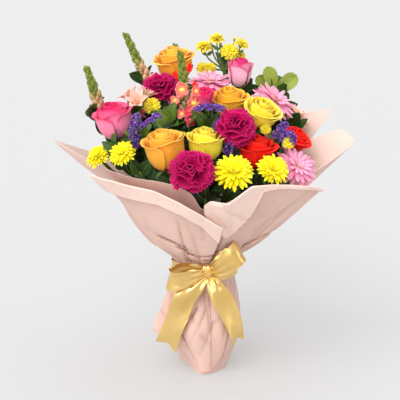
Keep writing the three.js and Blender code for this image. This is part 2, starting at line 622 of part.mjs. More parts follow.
// The twine round the stems inside the wrapper.
function twine() {
  const around = (z) => Array.from({ length: 18 }, (_, c) => polar(Math.PI * c / 9, TWINE_R, z));
  return plate([around(141.5), around(144.5)], 1.4, true);
}

const group = new THREE.Group();

function add(name, made, colour, roughness = 0.6) {
  const { numProp, vertProperties, triVerts } = made.getMesh();
  const count = vertProperties.length / numProp;
  const position = new Float32Array(count * 3);
  for (let i = 0; i < count; i++) position.set(vertProperties.subarray(i * numProp, i * numProp + 3), i * 3);
  const geometry = new THREE.BufferGeometry();
  geometry.setAttribute('position', new THREE.BufferAttribute(position, 3));
  geometry.setIndex(new THREE.BufferAttribute(new Uint32Array(triVerts), 1));
  geometry.computeVertexNormals();
  const material = new THREE.MeshStandardMaterial({ color: COLOURS[colour], roughness, metalness: 0 });
  const mesh = new THREE.Mesh(geometry, material);
  mesh.name = name;
  group.add(mesh);
}

for (const [name, spec] of Object.entries(SHEETS)) add(name, sheet(spec), 'paper', 0.85);

add('ribbon_bow', ribbon(), 'ribbon', 0.35);
add('binding_twine', twine(), 'twine', 0.9);

for (const [name, [kind, heart, facing, radius, colour]] of Object.entries(BLOOMS)) {
  add(name, stand(BLOOM_MAKERS[kind](radius), vec(...heart), vec(...facing)), colour);
}

for (const [name, [kind, foot, facing, length, colour]] of Object.entries(SPRAYS)) {
  add(name, stand(SPRAY_MAKERS[kind](length), vec(...foot), vec(...facing)), colour);
}

const everySeat = seats();
SECTORS.forEach((name, sector) => {
  add(`greens_${name}`, greens(sector, everySeat.filter((s) => sectorOf(s.foot) === sector)), 'green');
});

export default group;
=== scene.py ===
"""The looks of a mixed flower bouquet in a paper wrapper with a satin bow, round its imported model.

Tables and shapes are in millimetres, +Z up, the front facing -Y, as in the model.
"""

import math

import bmesh
import bpy
import numpy as np
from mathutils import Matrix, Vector


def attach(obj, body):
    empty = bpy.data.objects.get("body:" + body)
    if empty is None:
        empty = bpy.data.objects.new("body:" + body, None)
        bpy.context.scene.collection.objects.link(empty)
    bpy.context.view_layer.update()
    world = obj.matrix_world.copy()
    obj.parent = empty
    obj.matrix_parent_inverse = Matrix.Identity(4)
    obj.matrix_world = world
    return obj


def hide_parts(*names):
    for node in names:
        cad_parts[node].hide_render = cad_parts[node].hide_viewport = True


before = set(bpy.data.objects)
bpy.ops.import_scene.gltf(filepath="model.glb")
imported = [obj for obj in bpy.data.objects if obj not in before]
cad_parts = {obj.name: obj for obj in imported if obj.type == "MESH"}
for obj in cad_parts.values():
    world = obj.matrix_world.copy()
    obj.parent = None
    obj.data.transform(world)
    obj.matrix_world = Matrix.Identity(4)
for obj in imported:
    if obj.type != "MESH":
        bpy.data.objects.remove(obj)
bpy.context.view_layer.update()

MM = 0.001
GOLDEN = 2.39996  # turn from one petal, bud or leaf to the next, in radians
UP = np.array([0.0, 0.0, 1.0])

# The flowers: kind, place of the heart, the way it faces, radius and paint.
BLOOMS = {
    "rose_orange_back": ("rose", (-41, 58, 412), (-0.18, -0.12, 1), 28, "orange"),
    "rose_pink_left": ("rose", (-120, -22, 351), (-0.3, -0.12, 1), 28, "pink"),
    "rose_orange_front": ("rose", (-52, -81, 326), (-0.2, -0.14, 1), 30, "orange"),
    "rose_yellow_front": ("rose", (1, -72, 330), (0, -0.14, 1), 26, "yellow"),
    "rose_red_front": ("rose", (68, -56, 316), (0.05, -0.12, 1), 26, "red"),
    "rose_red_right": ("rose", (122, -6, 320), (0.45, -0.35, 0.8), 20, "red"),
    "rose_pink_back": ("bud", (49, 34, 403), (0.08, -0.12, 1), 18, "pink"),
    "rose_amber_right": ("rose", (33, -12, 373), (-0.05, -0.22, 1), 26, "amber"),
    "rose_yellow_right": ("rose", (75, -28, 361), (0.3, -0.35, 0.88), 26, "yellow"),
    "rose_magenta_small": ("bud", (1, -32, 381), (0, -0.45, 0.9), 13, "magenta"),
    "rose_pink_rear": ("rose", (-62, 92, 338), (-0.4, 0.6, 0.75), 26, "pink"),
    "rose_red_rear": ("rose", (62, 98, 328), (0.4, 0.6, 0.75), 26, "red"),
    "carnation_back": ("carnation", (-59, 17, 388), (-0.2, -0.4, 0.9), 23, "purple"),
    "carnation_front": ("carnation", (-16, -125, 309), (-0.05, -0.7, 0.7), 29, "purple"),
    "carnation_right": ("carnation", (41, -70, 353), (0.1, -0.6, 0.8), 26, "purple"),
    "carnation_rear": ("carnation", (2, 108, 352), (0, 0.6, 0.8), 26, "purple"),
    "daisy_front": ("daisy", (37, -107, 299), (0.05, -0.65, 0.76), 27, "daisy"),
    "daisy_front_right": ("daisy", (88, -93, 299), (0.3, -0.6, 0.7), 22, "daisy"),
    "daisy_left_outer": ("daisy", (-139, -40, 304), (-0.5, -0.45, 0.75), 18, "daisy"),
    "daisy_left_inner": ("daisy", (-106, -62, 313), (-0.3, -0.6, 0.75), 19, "daisy"),
    "daisy_rear": ("daisy", (-118, 66, 318), (-0.6, 0.5, 0.8), 22, "daisy"),
    "gerbera_back": ("gerbera", (9, 34, 387), (0.05, -0.3, 0.95), 30, "gerbera"),
    "gerbera_right": ("gerbera", (94, 23, 365), (0.5, -0.3, 0.8), 33, "gerbera"),
    "gerbera_low_right": ("gerbera", (121, -58, 294), (0.45, -0.6, 0.7), 30, "gerbera"),
}

# Sprays: kind, foot of the spray, the way it points and length.
SPRAYS = {
    "snapdragon_left": ("snapdragon", (-138, 14, 350), (-0.29, 0, 1), 64),
    "snapdragon_middle": ("snapdragon", (-76, 42, 386), (-0.44, -0.02, 1), 72),
    "snapdragon_front": ("snapdragon", (-21, -30, 352), (-0.12, 0.02, 1), 90),
    "snapdragon_rear": ("snapdragon", (-32, 96, 358), (-0.12, 0.25, 1), 70),
    "alstroemeria_left": ("alstroemeria", (-86, 0, 356), (-0.12, -0.2, 1), 31),
    "alstroemeria_rear": ("alstroemeria", (114, 57, 322), (0.5, 0.45, 0.8), 28),
    "daisy_spray_top": ("daisies", (28, 66, 398), (0.1, 0, 1), 50),
    "statice_left": ("statice", (-75, -44, 324), (-0.02, -0.1, 1), 31),
    "statice_middle": ("statice", (4, -50, 350), (0.02, -0.2, 1), 26),
    "statice_right": ("statice", (109, -35, 311), (0.25, -0.2, 1), 32),
    "statice_rear": ("statice", (27, 111, 306), (0.1, 0.35, 0.95), 30),
}

# Leafy stems: tip, the way it points, the way its leaves face, their number, length, width and lightness.
# Lightness is painted light and shade: stems that stand low and deep in the bouquet get darker leaves, and
# higher ones get lighter leaves.
LEAFY = (
    ((96, 77, 370), (0.03, 0.05, 1), (0.1, -1, 0.3), 5, 38, 27, 0.9),
    ((-84, -78, 292), (-0.45, -0.5, 0.8), (-0.3, -0.9, 0.3), 5, 34, 18, 0.32),
    ((2, -102, 262), (0.05, -0.5, 0.8), (0, -1, 0.3), 4, 26, 13, 0.02),
    ((-43, -34, 350), (-0.15, -0.4, 0.9), (-0.1, -1, 0.4), 4, 28, 18, 0.66),
    ((-84, 104, 318), (-0.4, 0.5, 0.8), (-0.5, 0.8, 0.3), 4, 36, 19, 0.45),
    ((103, 90, 303), (0.5, 0.4, 0.8), (0.6, 0.7, 0.3), 4, 34, 19, 0.45),
    ((-108, 30, 318), (-0.4, 0.3, 0.9), (-0.9, 0.2, 0.3), 4, 32, 17, 0.5),
    ((-112, -44, 312), (-0.35, -0.3, 0.9), (-0.4, -0.9, 0.3), 4, 30, 16, 0.4),
    ((-88, -34, 334), (-0.2, -0.2, 1), (-0.3, -0.9, 0.2), 4, 30, 18, 0.55),
)

# The rims of the sheets, each point in turn round the bouquet.
RIMS = {
    "inner": ((206, 0, 314), (188, 33, 325), (146, 46, 306), (122, 78, 296), (62, 112, 290),
              (0, 122, 288), (-58, 112, 284), (-116, 92, 284), (-160, 58, 288), (-208, 0, 317),
              (-150, -28, 293), (-128, -52, 289), (-100, -80, 286), (-66, -100, 285),
              (-34, -112, 281), (-16, -116, 272), (-4, -112, 250), (12, -112, 252),
              (40, -110, 264), (70, -98, 272), (110, -73, 272), (150, -40, 284)),
    "back": ((178, 65, 347), (150, 90, 336), (120, 112, 325), (62, 148, 334), (0, 158, 338),
             (-60, 144, 322), (-102, 121, 298)),
    "left": ((-150, -55, 282), (-116, -92, 282), (-90, -112, 280), (-66, -120, 276),
             (-30, -130, 262), (-8, -132, 250), (24, -128, 228)),
    "right": ((-2, -124, 256), (8, -130, 266), (30, -130, 262), (61, -126, 284), (88, -116, 283),
              (112, -100, 279), (140, -76, 271), (156, -56, 262)),
}

# Height, depth of the gathers and radii every 45 degrees from +X of the innermost sheet.
SKIRT = (
    (0.4, 0, (30, 44, 45, 44, 25, 24, 45, 35)),
    (20, 1.2, (41, 48, 50, 50, 38, 37, 47, 42)),
    (60, 3.2, (49, 54, 57, 58, 55, 54, 54, 51)),
    (100, 2.6, (47, 49, 50, 50, 48, 48, 48, 47)),
    (131, 1, (40, 40, 39, 39, 38, 39, 40, 40)),
    (155, 1, (40, 40, 39, 39, 38, 39, 40, 40)),
)

# The tie, the gaps between layers of paper and at the cuff, and the thickness of a sheet.
TIE_LOW, TIE_HIGH, TIE_R = 131, 155, 39
LAYER_GAP, CUFF_GAP, PAPER = 2.0, 2.4, 0.6

# Stems: radius, radius under the flower, pitch where they are pressed together, and height of the cut ends.
STEM_R, NECK_R, STEM_PITCH, CUT_Z = 2.1, 1.8, 3.4, 1.2
STEM_ROWS, FILL_LEAVES = 41, 10
# Rings on which the six bunches of stems stand at the tie and at the foot; there they are wider, and moved.
BUNDLE_RING, FOOT_RING, FOOT_SPREAD, FOOT_SHIFT = 20, 15.5, 1.35, np.array([5.0, 6.0, 0.0])
TWINE_R, TWINE_Z = 31.4, 141.6  # radius of the twine round the stems, and height of its lower end

# How far the foot of a flower lies behind its heart, as a share of its radius.
DEPTH = {"rose": 0.85, "bud": 1.25, "carnation": 0.7, "daisy": 0.3, "gerbera": 0.28}


def lerp(a, b, t):
    return a + (b - a) * t


def unit(v):
    v = np.asarray(v, float)
    return v / max(1e-12, np.linalg.norm(v))


def polar(angle, radius, z):
    angle, radius, z = np.broadcast_arrays(*(np.asarray(q, float) for q in (angle, radius, z)))
    return np.stack([radius * np.cos(angle), radius * np.sin(angle), z], -1)


def spline(points, t):
    """A Catmull-Rom line through points, read at shares t of its length, or at t even steps."""
    points = np.asarray(points, float)
    t = np.linspace(0, 1, t) if isinstance(t, int) else t
    last = len(points) - 1
    x = np.clip(np.asarray(t, float) * last, 0, last - 1e-9)
    i = x.astype(int)
    f = (x - i)[..., None]
    padded = np.concatenate([2 * points[:1] - points[1:2], points, 2 * points[-1:] - points[-2:-1]])
    a, b, c, d = (padded[i + k] for k in range(4))
    return 0.5 * (2 * b + (c - a) * f + (2 * a - 5 * b + 4 * c - d) * f ** 2
                  + (3 * b - a - 3 * c + d) * f ** 3)


def turn_to(direction):
    """The rotation that takes +Z to a direction."""
    return np.array(Vector((0, 0, 1)).rotation_difference(Vector(direction)).to_matrix())


def put(points, place=(0, 0, 0), direction=(0, 0, 1), spin=0.0):
    """Points modelled about +Z, spun about it, turned to a direction and moved."""
    c, s = math.cos(spin), math.sin(spin)
    spun = points @ np.array([[c, s, 0], [-s, c, 0], [0, 0, 1]])
    return spun @ turn_to(direction).T + np.asarray(place, float)


def along(points, root, direction, face=(0, 0, 1)):
    """A blade modelled along +X, laid along a direction from its root with its upper side to face."""
    d = unit(direction)
    side = np.cross(face, d)
    if np.linalg.norm(side) < 0.05:
        side = np.cross(d, (1.0, 0.2, 0.1))
    side = unit(side)
    return points @ np.stack([d, side, np.cross(d, side)]) + np.asarray(root, float)


class Shape:
    """Grids of points gathered into one mesh, with a share map and tones for the paints."""

    def __init__(self):
        self.points, self.faces, self.shares, self.tones, self.paints = [], [], [], [], []
        self.count = 0
        self.turn, self.place = np.eye(3), np.zeros(3)

    def stand(self, place, direction):
        """What follows stands at place, with its +Z along direction."""
        self.turn, self.place = turn_to(direction), np.asarray(place, float)

    def grid(self, points, paint=0, tone=(0.5, 0.5), share=None):
        """Rows and columns of points; tone is one pair, or a pair for each point."""
        rows, columns = points.shape[:2]
        if share is None:
            share = shares(rows, columns)
        index = np.arange(rows * columns).reshape(rows, columns) + self.count
        quads = np.stack([index[:-1, :-1], index[:-1, 1:], index[1:, 1:], index[1:, :-1]], -1)
        quads = quads.reshape(-1, 4)
        self.points.append(points.reshape(-1, 3) @ self.turn.T + self.place)
        self.faces.append(quads)
        self.shares.append(np.asarray(share, float).reshape(-1, 2))
        pairs = np.broadcast_to(np.asarray(tone, float), (rows, columns, 2)).reshape(-1, 2)
        self.tones.append(np.column_stack([pairs, np.zeros(len(pairs)), np.ones(len(pairs))]))
        self.paints.append(np.full(len(quads), paint))
        self.count += rows * columns

    def petal(self, points, thick=0.5, paint=0, tone=(0.5, 0.5), share=None, under=None):
        """A thin closed blade about a grid of points; under is the tone of its other face."""
        rows, columns = points.shape[:2]
        if share is None:
            share = shares(rows, columns)
        normal = np.cross(np.gradient(points, axis=1), np.gradient(points, axis=0))
        normal /= np.maximum(1e-9, np.linalg.norm(normal, axis=-1, keepdims=True))
        front, back = points + normal * thick / 2, points - normal * thick / 2
        tones = np.broadcast_to(np.asarray(tone, float), (rows, columns, 2))
        other = tones if under is None else np.broadcast_to(np.asarray(under, float), tones.shape)

        def round_it(a, b):
            return np.concatenate([a, b[:, ::-1], a[:, :1]], 1)

        self.grid(round_it(front, back), paint, round_it(tones, other), round_it(share, share))
        for row, pair in ((0, (back, front)), (rows - 1, (front, back))):
            self.grid(np.stack([side[row] for side in pair]), paint,
                      np.stack([tones[row]] * 2), np.stack([share[row]] * 2))

    def piece(self, name, slot, paints, node, sharp=42):
        """The finished piece, which stands for a node of the model."""
        points, faces = np.concatenate(self.points) * MM, np.concatenate(self.faces)
        mesh = bpy.data.meshes.new(name)
        mesh.from_pydata(points.tolist(), [], faces.tolist())
        corners = faces.ravel()
        layer = mesh.uv_layers.new(name="share")
        layer.data.foreach_set("uv", np.concatenate(self.shares)[corners].ravel())
        tone = mesh.color_attributes.new("tone", "FLOAT_COLOR", "CORNER")
        tone.data.foreach_set("color", np.concatenate(self.tones)[corners].ravel())
        mesh.polygons.foreach_set("material_index", np.concatenate(self.paints))
        for paint in paints:
            mesh.materials.append(paint)
        edit = bmesh.new()
        edit.from_mesh(mesh)
        bmesh.ops.remove_doubles(edit, verts=edit.verts, dist=2e-6)
        edit.to_mesh(mesh)
        edit.free()
        mesh.polygons.foreach_set("use_smooth", np.ones(len(mesh.polygons), bool))
        mesh.set_sharp_from_angle(angle=math.radians(sharp))
        made = bpy.data.objects.new(name, mesh)
        bpy.context.scene.collection.objects.link(made)
        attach(made, "root")
        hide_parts(node)
        return made


def shares(rows, columns):
    """Shares across and along a grid."""
    return np.stack(np.meshgrid(np.linspace(0, 1, columns), np.linspace(0, 1, rows)), -1)


def tube(line, radii, sides=8):
    """A round bar along a line; its ends close to points."""
    line = np.asarray(line, float)
    radii = np.broadcast_to(np.asarray(radii, float), len(line))
    ways = np.gradient(line, axis=0)
    angle = np.linspace(0, 2 * np.pi, sides + 1)[:, None]
    side = np.array([1.0, 0.13, 0.07])
    rings = [np.repeat(line[:1], sides + 1, 0)]
    for p, way, r in zip(line, ways, radii):
        way = unit(way)
        side = unit(side - way * (side @ way))
        rings.append(p + r * (np.cos(angle) * side + np.sin(angle) * np.cross(way, side)))
    rings.append(np.repeat(line[-1:], sides + 1, 0))
    return np.array(rings)


def lathe(profile, sides=10, lobes=0, depth=0.0):
    """A turned form from its [radius, height] profile, listed upwards; lobes shape its rim."""
    profile = np.asarray(profile, float)
    angle = np.linspace(0, 2 * np.pi, sides + 1)[None, :]
    wave = 1 + depth * np.cos(lobes * angle)
    return polar(angle, profile[:, :1] * wave, np.broadcast_to(profile[:, 1:], (len(profile), sides + 1)))


def pod(length, radius, sides):
    """A bud from its root to its tip."""
    share = np.array([0, 0.08, 0.28, 0.52, 0.76, 0.92, 1])
    girth = np.array([0, 0.5, 0.88, 1, 0.74, 0.36, 0])
    return lathe(np.column_stack([girth * radius, share * length]), sides)


# Half widths of blades along their length.
def lens(v):
    return np.sin(np.pi * v ** 0.85) ** 0.8


def strap(v):
    return (0.42 + 0.58 * np.sin(np.pi * v ** 0.9 * 0.62)) * np.sqrt(np.maximum(0, 1 - v ** 7))


def paddle(v):
    return (0.16 + 0.84 * np.sin(np.pi / 2 * v ** 0.9)) * np.sqrt(np.maximum(0, 1 - v ** 4))


def fan(v):
    return 0.14 + 0.86 * v ** 1.1


def blade(length, width, outline, rise=0.0, bend=0.0, cup=0.0, ruffle=(0, 0, 0), teeth=(0, 0),
          rows=7, columns=7, keel=0.0, crown=0.0, twist=0.0):
    """A petal or leaf along +X: it starts at an angle over the level and bends down from it."""
    v = 1 - (1 - np.linspace(0, 1, rows)) ** 1.3
    u = np.linspace(-1, 1, columns)[None, :]
    angle = rise - bend * v
    middle, steps = (angle[1:] + angle[:-1]) / 2, np.diff(v)
    out = np.concatenate([[0], np.cumsum(np.cos(middle) * steps)])[:, None]
    up = np.concatenate([[0], np.cumsum(np.sin(middle) * steps)])[:, None]
    half = (width / 2 * outline(v))[:, None]
    v, angle = v[:, None], angle[:, None]
    reach = length * (1 + teeth[0] * v ** 3 * np.cos(teeth[1] * np.pi * u) - crown * v * u ** 2)
    lift = (cup * u ** 2 + keel * np.abs(u) + twist * v * u) * half
    lift = lift + ruffle[0] * v ** 2 * np.sin(ruffle[1] * u + ruffle[2])
    return np.stack([out * reach - np.sin(angle) * lift, u * half + 0 * v,
                     up * reach + np.cos(angle) * lift], -1)


def ring_of(shape, count, points_of, draw, tone, root=(0, 0), turn=0.0, thick=0.5, loose=0.05):
    """Blades round +Z: points_of(k) is blade k, and root its distance out and height."""
    for k in range(count):
        a = 2 * np.pi * k / count + turn + loose * draw()
        made = points_of(k) + np.array([root[0], 0, root[1]])
        shape.petal(put(made, spin=a), thick, 0, (0.5 + 0.5 * draw(), tone))


def seeded(seed):
    """A repeatable draw between -1 and 1."""
    source = np.random.default_rng(seed)
    return lambda: float(source.uniform(-1, 1))


def jitter(draw):
    """A step in any direction."""
    return np.array([draw(), draw(), draw()])


# Blooms, each about its heart with +Z the way it faces

# The petals of a rose and of a bud, family by family from the heart: number, radius and height of the lip and
# belly in shares of the rose's radius, half of the turn that a petal spans, and curl.
FORMS = {
    "rose": (
        (3, (0.1, 0.22), (0.74, 0.7), (0.22, 0.36), 2.3, 0.04),
        (5, (0.3, 0.5), (0.67, 0.56), (0.46, 0.68), 1.45, 0.12),
        (6, (0.56, 0.72), (0.54, 0.36), (0.78, 0.9), 1.05, 0.28),
    ),
    "bud": (
        (3, (0.12, 0.24), (1.06, 1.02), (0.26, 0.42), 2.3, 0.04),
        (4, (0.4, 0.56), (0.98, 0.9), (0.56, 0.76), 1.5, 0.1),
        (3, (0.68, 0.78), (0.84, 0.74), (0.84, 0.92), 1.05, 0.24),
    ),
}

# How much taller than the rest some roses are; their lips come nearer to one level.
TALL = {
    "rose_orange_back": 1.15, "rose_pink_left": 1.25, "rose_orange_front": 1.25,
    "rose_yellow_front": 1.2, "rose_red_front": 1.2,
}
LIP_LEVEL = 0.56
ROSE_ROWS, ROSE_COLUMNS = 14, 19


def rose(shape, radius, form, base, tall, draw):
    """Petals wind out from a tight heart to broad outer ones whose lips roll back to a point."""
    v = (1 - (1 - np.linspace(0, 1, ROSE_ROWS)) ** 1.25)[:, None]
    u = np.linspace(-1, 1, ROSE_COLUMNS)[None, :]
    total, k = sum(family[0] for family in form), 0
    for count, lips, tops, bellies, span, curl in form:
        for i in range(count):
            s, share = k / (total - 1), i / (count - 1)
            lip, belly = lerp(*lips, share), lerp(*bellies, share)
            top, rolled = lerp(*tops, share) + 0.03 * s * draw(), curl * (1 + 0.3 * draw())
            top = lerp(top, LIP_LEVEL, 2.2 * (tall - 1))
            w = v * (1 - (0.1 + 0.16 * s) * np.abs(u) ** 2.6)
            low = base * (0.75 + 0.25 * s)
            side = ((0.03, low), (belly * 0.95, low + 0.03), (belly * 1.12, lerp(low, top, 0.62)), (lip, top))
            weights = ((1 - w) ** 3, 3 * (1 - w) ** 2 * w, 3 * (1 - w) * w ** 2, w ** 3)
            r, z = (sum(spot[q] * weight for spot, weight in zip(side, weights)) for q in (0, 1))
            roll = np.maximum(0, (w - 0.68) / 0.32)
            sides = 1 + 0.7 * s * np.abs(u + 0.15 * draw()) ** 1.5
            peak = np.exp(-(u / 0.16) ** 2) * roll ** 2 * s
            r = r + rolled * roll ** 2 * sides + 0.07 * peak + 0.06 * s * u ** 4 * w ** 2
            z = z - 0.7 * rolled * roll ** 3 * sides + 0.03 * peak
            r = r * (1 + 0.13 * u * (1 - 0.6 * s)) + 0.018 * np.sin(2.6 * u + 3 * k) * w ** 3
            z = z + 0.03 * np.sin(2.2 * u + 2 * k) * w ** 3
            wide = 0.3 + 0.7 * np.sin(np.pi / 2 * np.minimum(1, w / 0.6))
            angle = k * GOLDEN + span * u * wide
            shape.petal(polar(angle, r, tall * z) * radius, 0.6, 0, (0.5 + 0.5 * draw(), s))
            k += 1


def carnation(shape, radius, draw):
    """Broad fringed fans, ruffled and crowded, that stand out of one another up to the crown."""
    whorls = ((7, -6, 1.0, -0.2, 1.25), (7, 10, 0.96, -0.14, 1.15), (7, 27, 0.86, -0.1, 1.05),
              (6, 44, 0.74, -0.06, 0.95), (5, 60, 0.64, -0.02, 0.85), (4, 76, 0.56, 0.0, 0.8))
    for j, (count, rise, reach, height, wide) in enumerate(whorls):
        def fringed(k, rise=rise, reach=reach, wide=wide):
            lean = math.radians(rise + 13 * draw())
            return blade(reach * radius * (1 + 0.1 * draw()), wide * radius, fan, rise=lean, bend=0.35,
                         ruffle=(0.09 * radius, 5.5 + 2.5 * draw(), 3 * draw()), teeth=(0.05, 8),
                         rows=9, columns=25, crown=0.2, twist=0.5 * draw())
        # Tone j / 5 gives the lower outer whorls the dark heart and depth colours of the paint: painted shade
        # under the crown.
        ring_of(shape, count, fringed, draw, j / 5, (0.02 * radius, height * radius), j * 0.7, 0.5, 0.22)


def button(shape, radius, count, draw, paint=0):
    """A dome of small florets in the middle of a daisy."""
    for k in range(count):
        share = math.sqrt((k + 0.5) / count)
        place = polar(k * GOLDEN, share * radius, 0.4 * radius * (1 - share ** 2))
        size = radius * lerp(0.34, 0.5, share)
        lean = unit(place * [0.8, 0.8, 0] + UP * radius)
        bud = put(pod(size * 1.5, size * 0.42, 6), place - UP * size * 0.5, lean)
        shape.grid(bud, paint, (0.5 + 0.5 * draw(), 1))


def daisy(shape, radius, draw, whorls=((22, 0, 1.0), (20, 14, 0.93), (17, 30, 0.76), (13, 48, 0.5)),
          bend=0.16, wide=0.21, rows=7):
    """Narrow channelled rays in close whorls about a small button."""
    for j, (count, rise, reach) in enumerate(whorls):
        def ray(k, rise=rise, reach=reach):
            lean = math.radians(rise + 7 * draw())
            return blade(reach * radius * (1 + 0.09 * draw()), wide * radius, strap, rise=lean,
                         bend=bend * (1 + 0.6 * draw()), cup=0.5, rows=rows, columns=5)
        ring_of(shape, count, ray, draw, j / 3, (0.02 * radius, 0.03 * j * radius), j * 0.5, 0.4, 0.08)
    shape.place = shape.place + shape.turn @ (UP * 0.14 * radius)
    button(shape, 0.18 * radius, 22, draw)


def gerbera(shape, radius, draw):
    """Long soft rays in two loose whorls, short ones, and a disc of florets."""
    whorls = ((16, 0, 1.0, 0.25), (15, 12, 0.9, 0.24), (13, 30, 0.6, 0.16), (16, 52, 0.28, 0.07))
    for j, (count, rise, reach, wide) in enumerate(whorls):
        def ray(k, rise=rise, reach=reach, wide=wide):
            lean = math.radians(rise + 8 * draw())
            return blade(reach * radius * (1 + 0.08 * draw()), wide * radius, strap, rise=lean,
                         bend=0.24, cup=-0.2, ruffle=(0.012 * radius, 9, 0), rows=8, columns=7)
        ring_of(shape, count, ray, draw, j / 3, (0.02 * radius, 0.04 * j * radius), j * 0.6, 0.45, 0.09)
    shape.place = shape.place + shape.turn @ (UP * 0.1 * radius)
    button(shape, 0.18 * radius, 30, draw, 1)


# Sprays, each from its foot with +Z the way it points

# Open florets of the front snapdragon about its foot: place, radius and paint.
FLORETS = (
    ((-3, -9, 40), 12.5, 2), ((10, -9, 21), 13, 2), ((-13, -8, 27), 9, 2), ((3, -13, 0), 10, 4),
    ((-7, -11, 9), 8.5, 2), ((15, -7, 36), 9.5, 2), ((2, -12, 12), 9, 4), ((13, -11, 7), 8, 2),
    ((-8, 4, 59), 6, 3), ((10, 4, 66), 6.5, 3), ((14, -4, 43), 6.5, 3),
)


def snapdragon(shape, length, draw, florets=()):
    """Pointed buds wind round the stalk, small at the tip; open florets stand about its lower part."""
    shape.grid(tube(polar(0, 0, np.linspace(0, length, 9)), np.linspace(2.0, 0.8, 9)), 1, (0.5, 0.6))
    buds = 42
    for k in range(buds):
        share = k / (buds - 1)
        size = lerp(14, 8.5, share) * (1 + 0.14 * draw())
        way = polar(k * GOLDEN, 1, lerp(1.1, 2.6, share))
        root = polar(k * GOLDEN, 0.8, lerp(0, length * 0.95, share ** 0.95))
        shape.grid(put(pod(size, size * 0.29, 7), root, way), 0, (0.5 + 0.5 * draw(), share))
        for j in range(2):
            sepal = blade(size * 0.5, size * 0.34, lens, rise=1.15, bend=-0.2, rows=4, columns=5)
            shape.petal(put(sepal, root, way, j * 3.1), 0.4, 1, (0.3, 0.3))
    for place, size, paint in florets:
        foot = np.array([0, 0, place[2] - 2.0])
        shape.grid(tube(spline([foot, place], 4), 0.9, 6), 1, (0.5, 0.6))
        way = unit((0.4 * place[0] / size + 0.2 * draw(), -1, 0.35 + 0.2 * draw()))
        floret(shape, np.array(place, float) - way * size * 0.5, way, size, draw, paint)


def floret(shape, root, way, size, draw, paint):
    """An open two-lipped floret with a swollen throat."""
    throat = lathe(((0, 0), (0.18, 0.05), (0.28, 0.3), (0.28, 0.6), (0.2, 0.78), (0, 0.84)), 10, 2, 0.2)
    shape.grid(put(throat * size, root, way), paint, (0.5, 0))
    for turn, long in ((0.6, 0.85), (1.9, 0.95), (3.2, 0.75), (4.3, 0.95), (5.4, 0.8)):
        lobe = blade(size * long, size, paddle, rise=0.42 + 0.25 * draw(), bend=0.5 + 0.3 * draw(),
                     cup=0.1, ruffle=(0.15 * size, 5 + draw(), 3 * draw()), teeth=(0.06, 4),
                     rows=8, columns=11, crown=0.1, twist=0.3 * draw())
        lobe = put(lobe, root + way * size * 0.5, way, turn + 0.3 * draw())
        shape.petal(lobe, 0.5, paint, (0.5 + 0.5 * draw(), 1))


def alstroemeria(shape, length, draw):
    """Upright funnels of six broad pointed petals with fine stamens, on short stalks."""
    for k in range(3):
        lean = unit(polar(0.5 + 2 * np.pi * k / 3, 0.62, 1))
        foot = lean * length * 0.36
        line = spline([[0, 0, 0], foot * 0.5 + [0, 0, 2], foot], 7)
        shape.grid(tube(line, np.linspace(2, 1.5, 7)), 1, (0.5, 0.7))
        for j in range(6):
            wide = (0.46, 0.32)[j % 2]
            petal = blade(length * 0.86, length * wide, lens, rise=1.25, bend=0.6 + 0.1 * draw(),
                          cup=0.35, ruffle=(0.02 * length, 4, j), rows=9, columns=9)
            petal = put(petal, foot, lean, k + j * np.pi / 3)
            shape.petal(petal, 0.5, 0, (0.5 + 0.5 * draw(), 0.35 + 0.65 * (j % 2)))
        for j in range(5):
            way = unit(put(polar(j * 1.25, 0.22, 1)[None], direction=lean)[0])
            line = spline([foot, foot + way * length * 0.4, foot + way * length * 0.66 + UP], 6)
            shape.grid(tube(line, (0.4, 0.4, 0.4, 0.4, 0.9, 0.8), 6), 0, (0.2, 0))


# A small daisy: the whorls of its rays (number, rise and reach), their bend and width, and rows of points.
SMALL = (((18, 6, 1.0), (16, 24, 0.96), (14, 42, 0.88), (10, 60, 0.7)), 0.6, 0.27, 5)

# Small yellow daisies that stand among other sprays: place, way and radius, about the foot of the spray.
STRAYS = {
    "alstroemeria_left": (((17, -10, 9), (0.2, -0.8, 0.6), 12),),
    "statice_right": (((-29, -8, 30), (-0.1, -0.8, 0.6), 8), ((1, -18, 14), (0.2, -0.9, 0.4), 9)),
}


def stray(shape, place, facing, radius, draw):
    """A small daisy on its own twig."""
    heart, lean = np.array(place, float), unit(facing)
    line = spline([[0, 0, -4], heart * 0.6 - UP * 6, heart - lean * 0.2 * radius], 7)
    shape.grid(tube(line, 0.9, 6), 2, (0.3, 0.3))
    shape.place, shape.turn = shape.place + shape.turn @ heart, shape.turn @ turn_to(lean)
    first = len(shape.paints)
    daisy(shape, radius, draw, *SMALL)
    shape.paints[first:] = [np.full(len(p), 3) for p in shape.paints[first:]]


# The top spray, at a length of 50: place and radius of each head and bud, and the way that it faces.
HEADS = (
    (-31, 0, 29, 13, (-0.15, -0.1, 1)), (-15, -4, 43, 11.5, (-0.1, -0.2, 1)), (4, -7, 28, 13, (0, -0.8, 0.6)),
    (19, -3, 39, 11, (0.35, -0.2, 0.9)), (19, 2, 23, 9, (0.6, -0.3, 0.7)),
    (-30, -6, 2, 10, (-0.2, -0.5, 0.8)), (-19, -6, 4, 8, (0.1, -0.5, 0.8)),
    (-9, 2, 34, 4.5, (0, 0, 1)), (9, 0, 44, 4.2, (0, 0, 1)), (-22, 3, 38, 4, (-0.2, 0, 1)),
    (8, -6, 14, 4.5, (0.3, -0.5, 1)),
)
BUD_R, TWIG_LEAF_R = 6, 9.5  # smaller heads are buds, and larger ones have leaves on their twigs


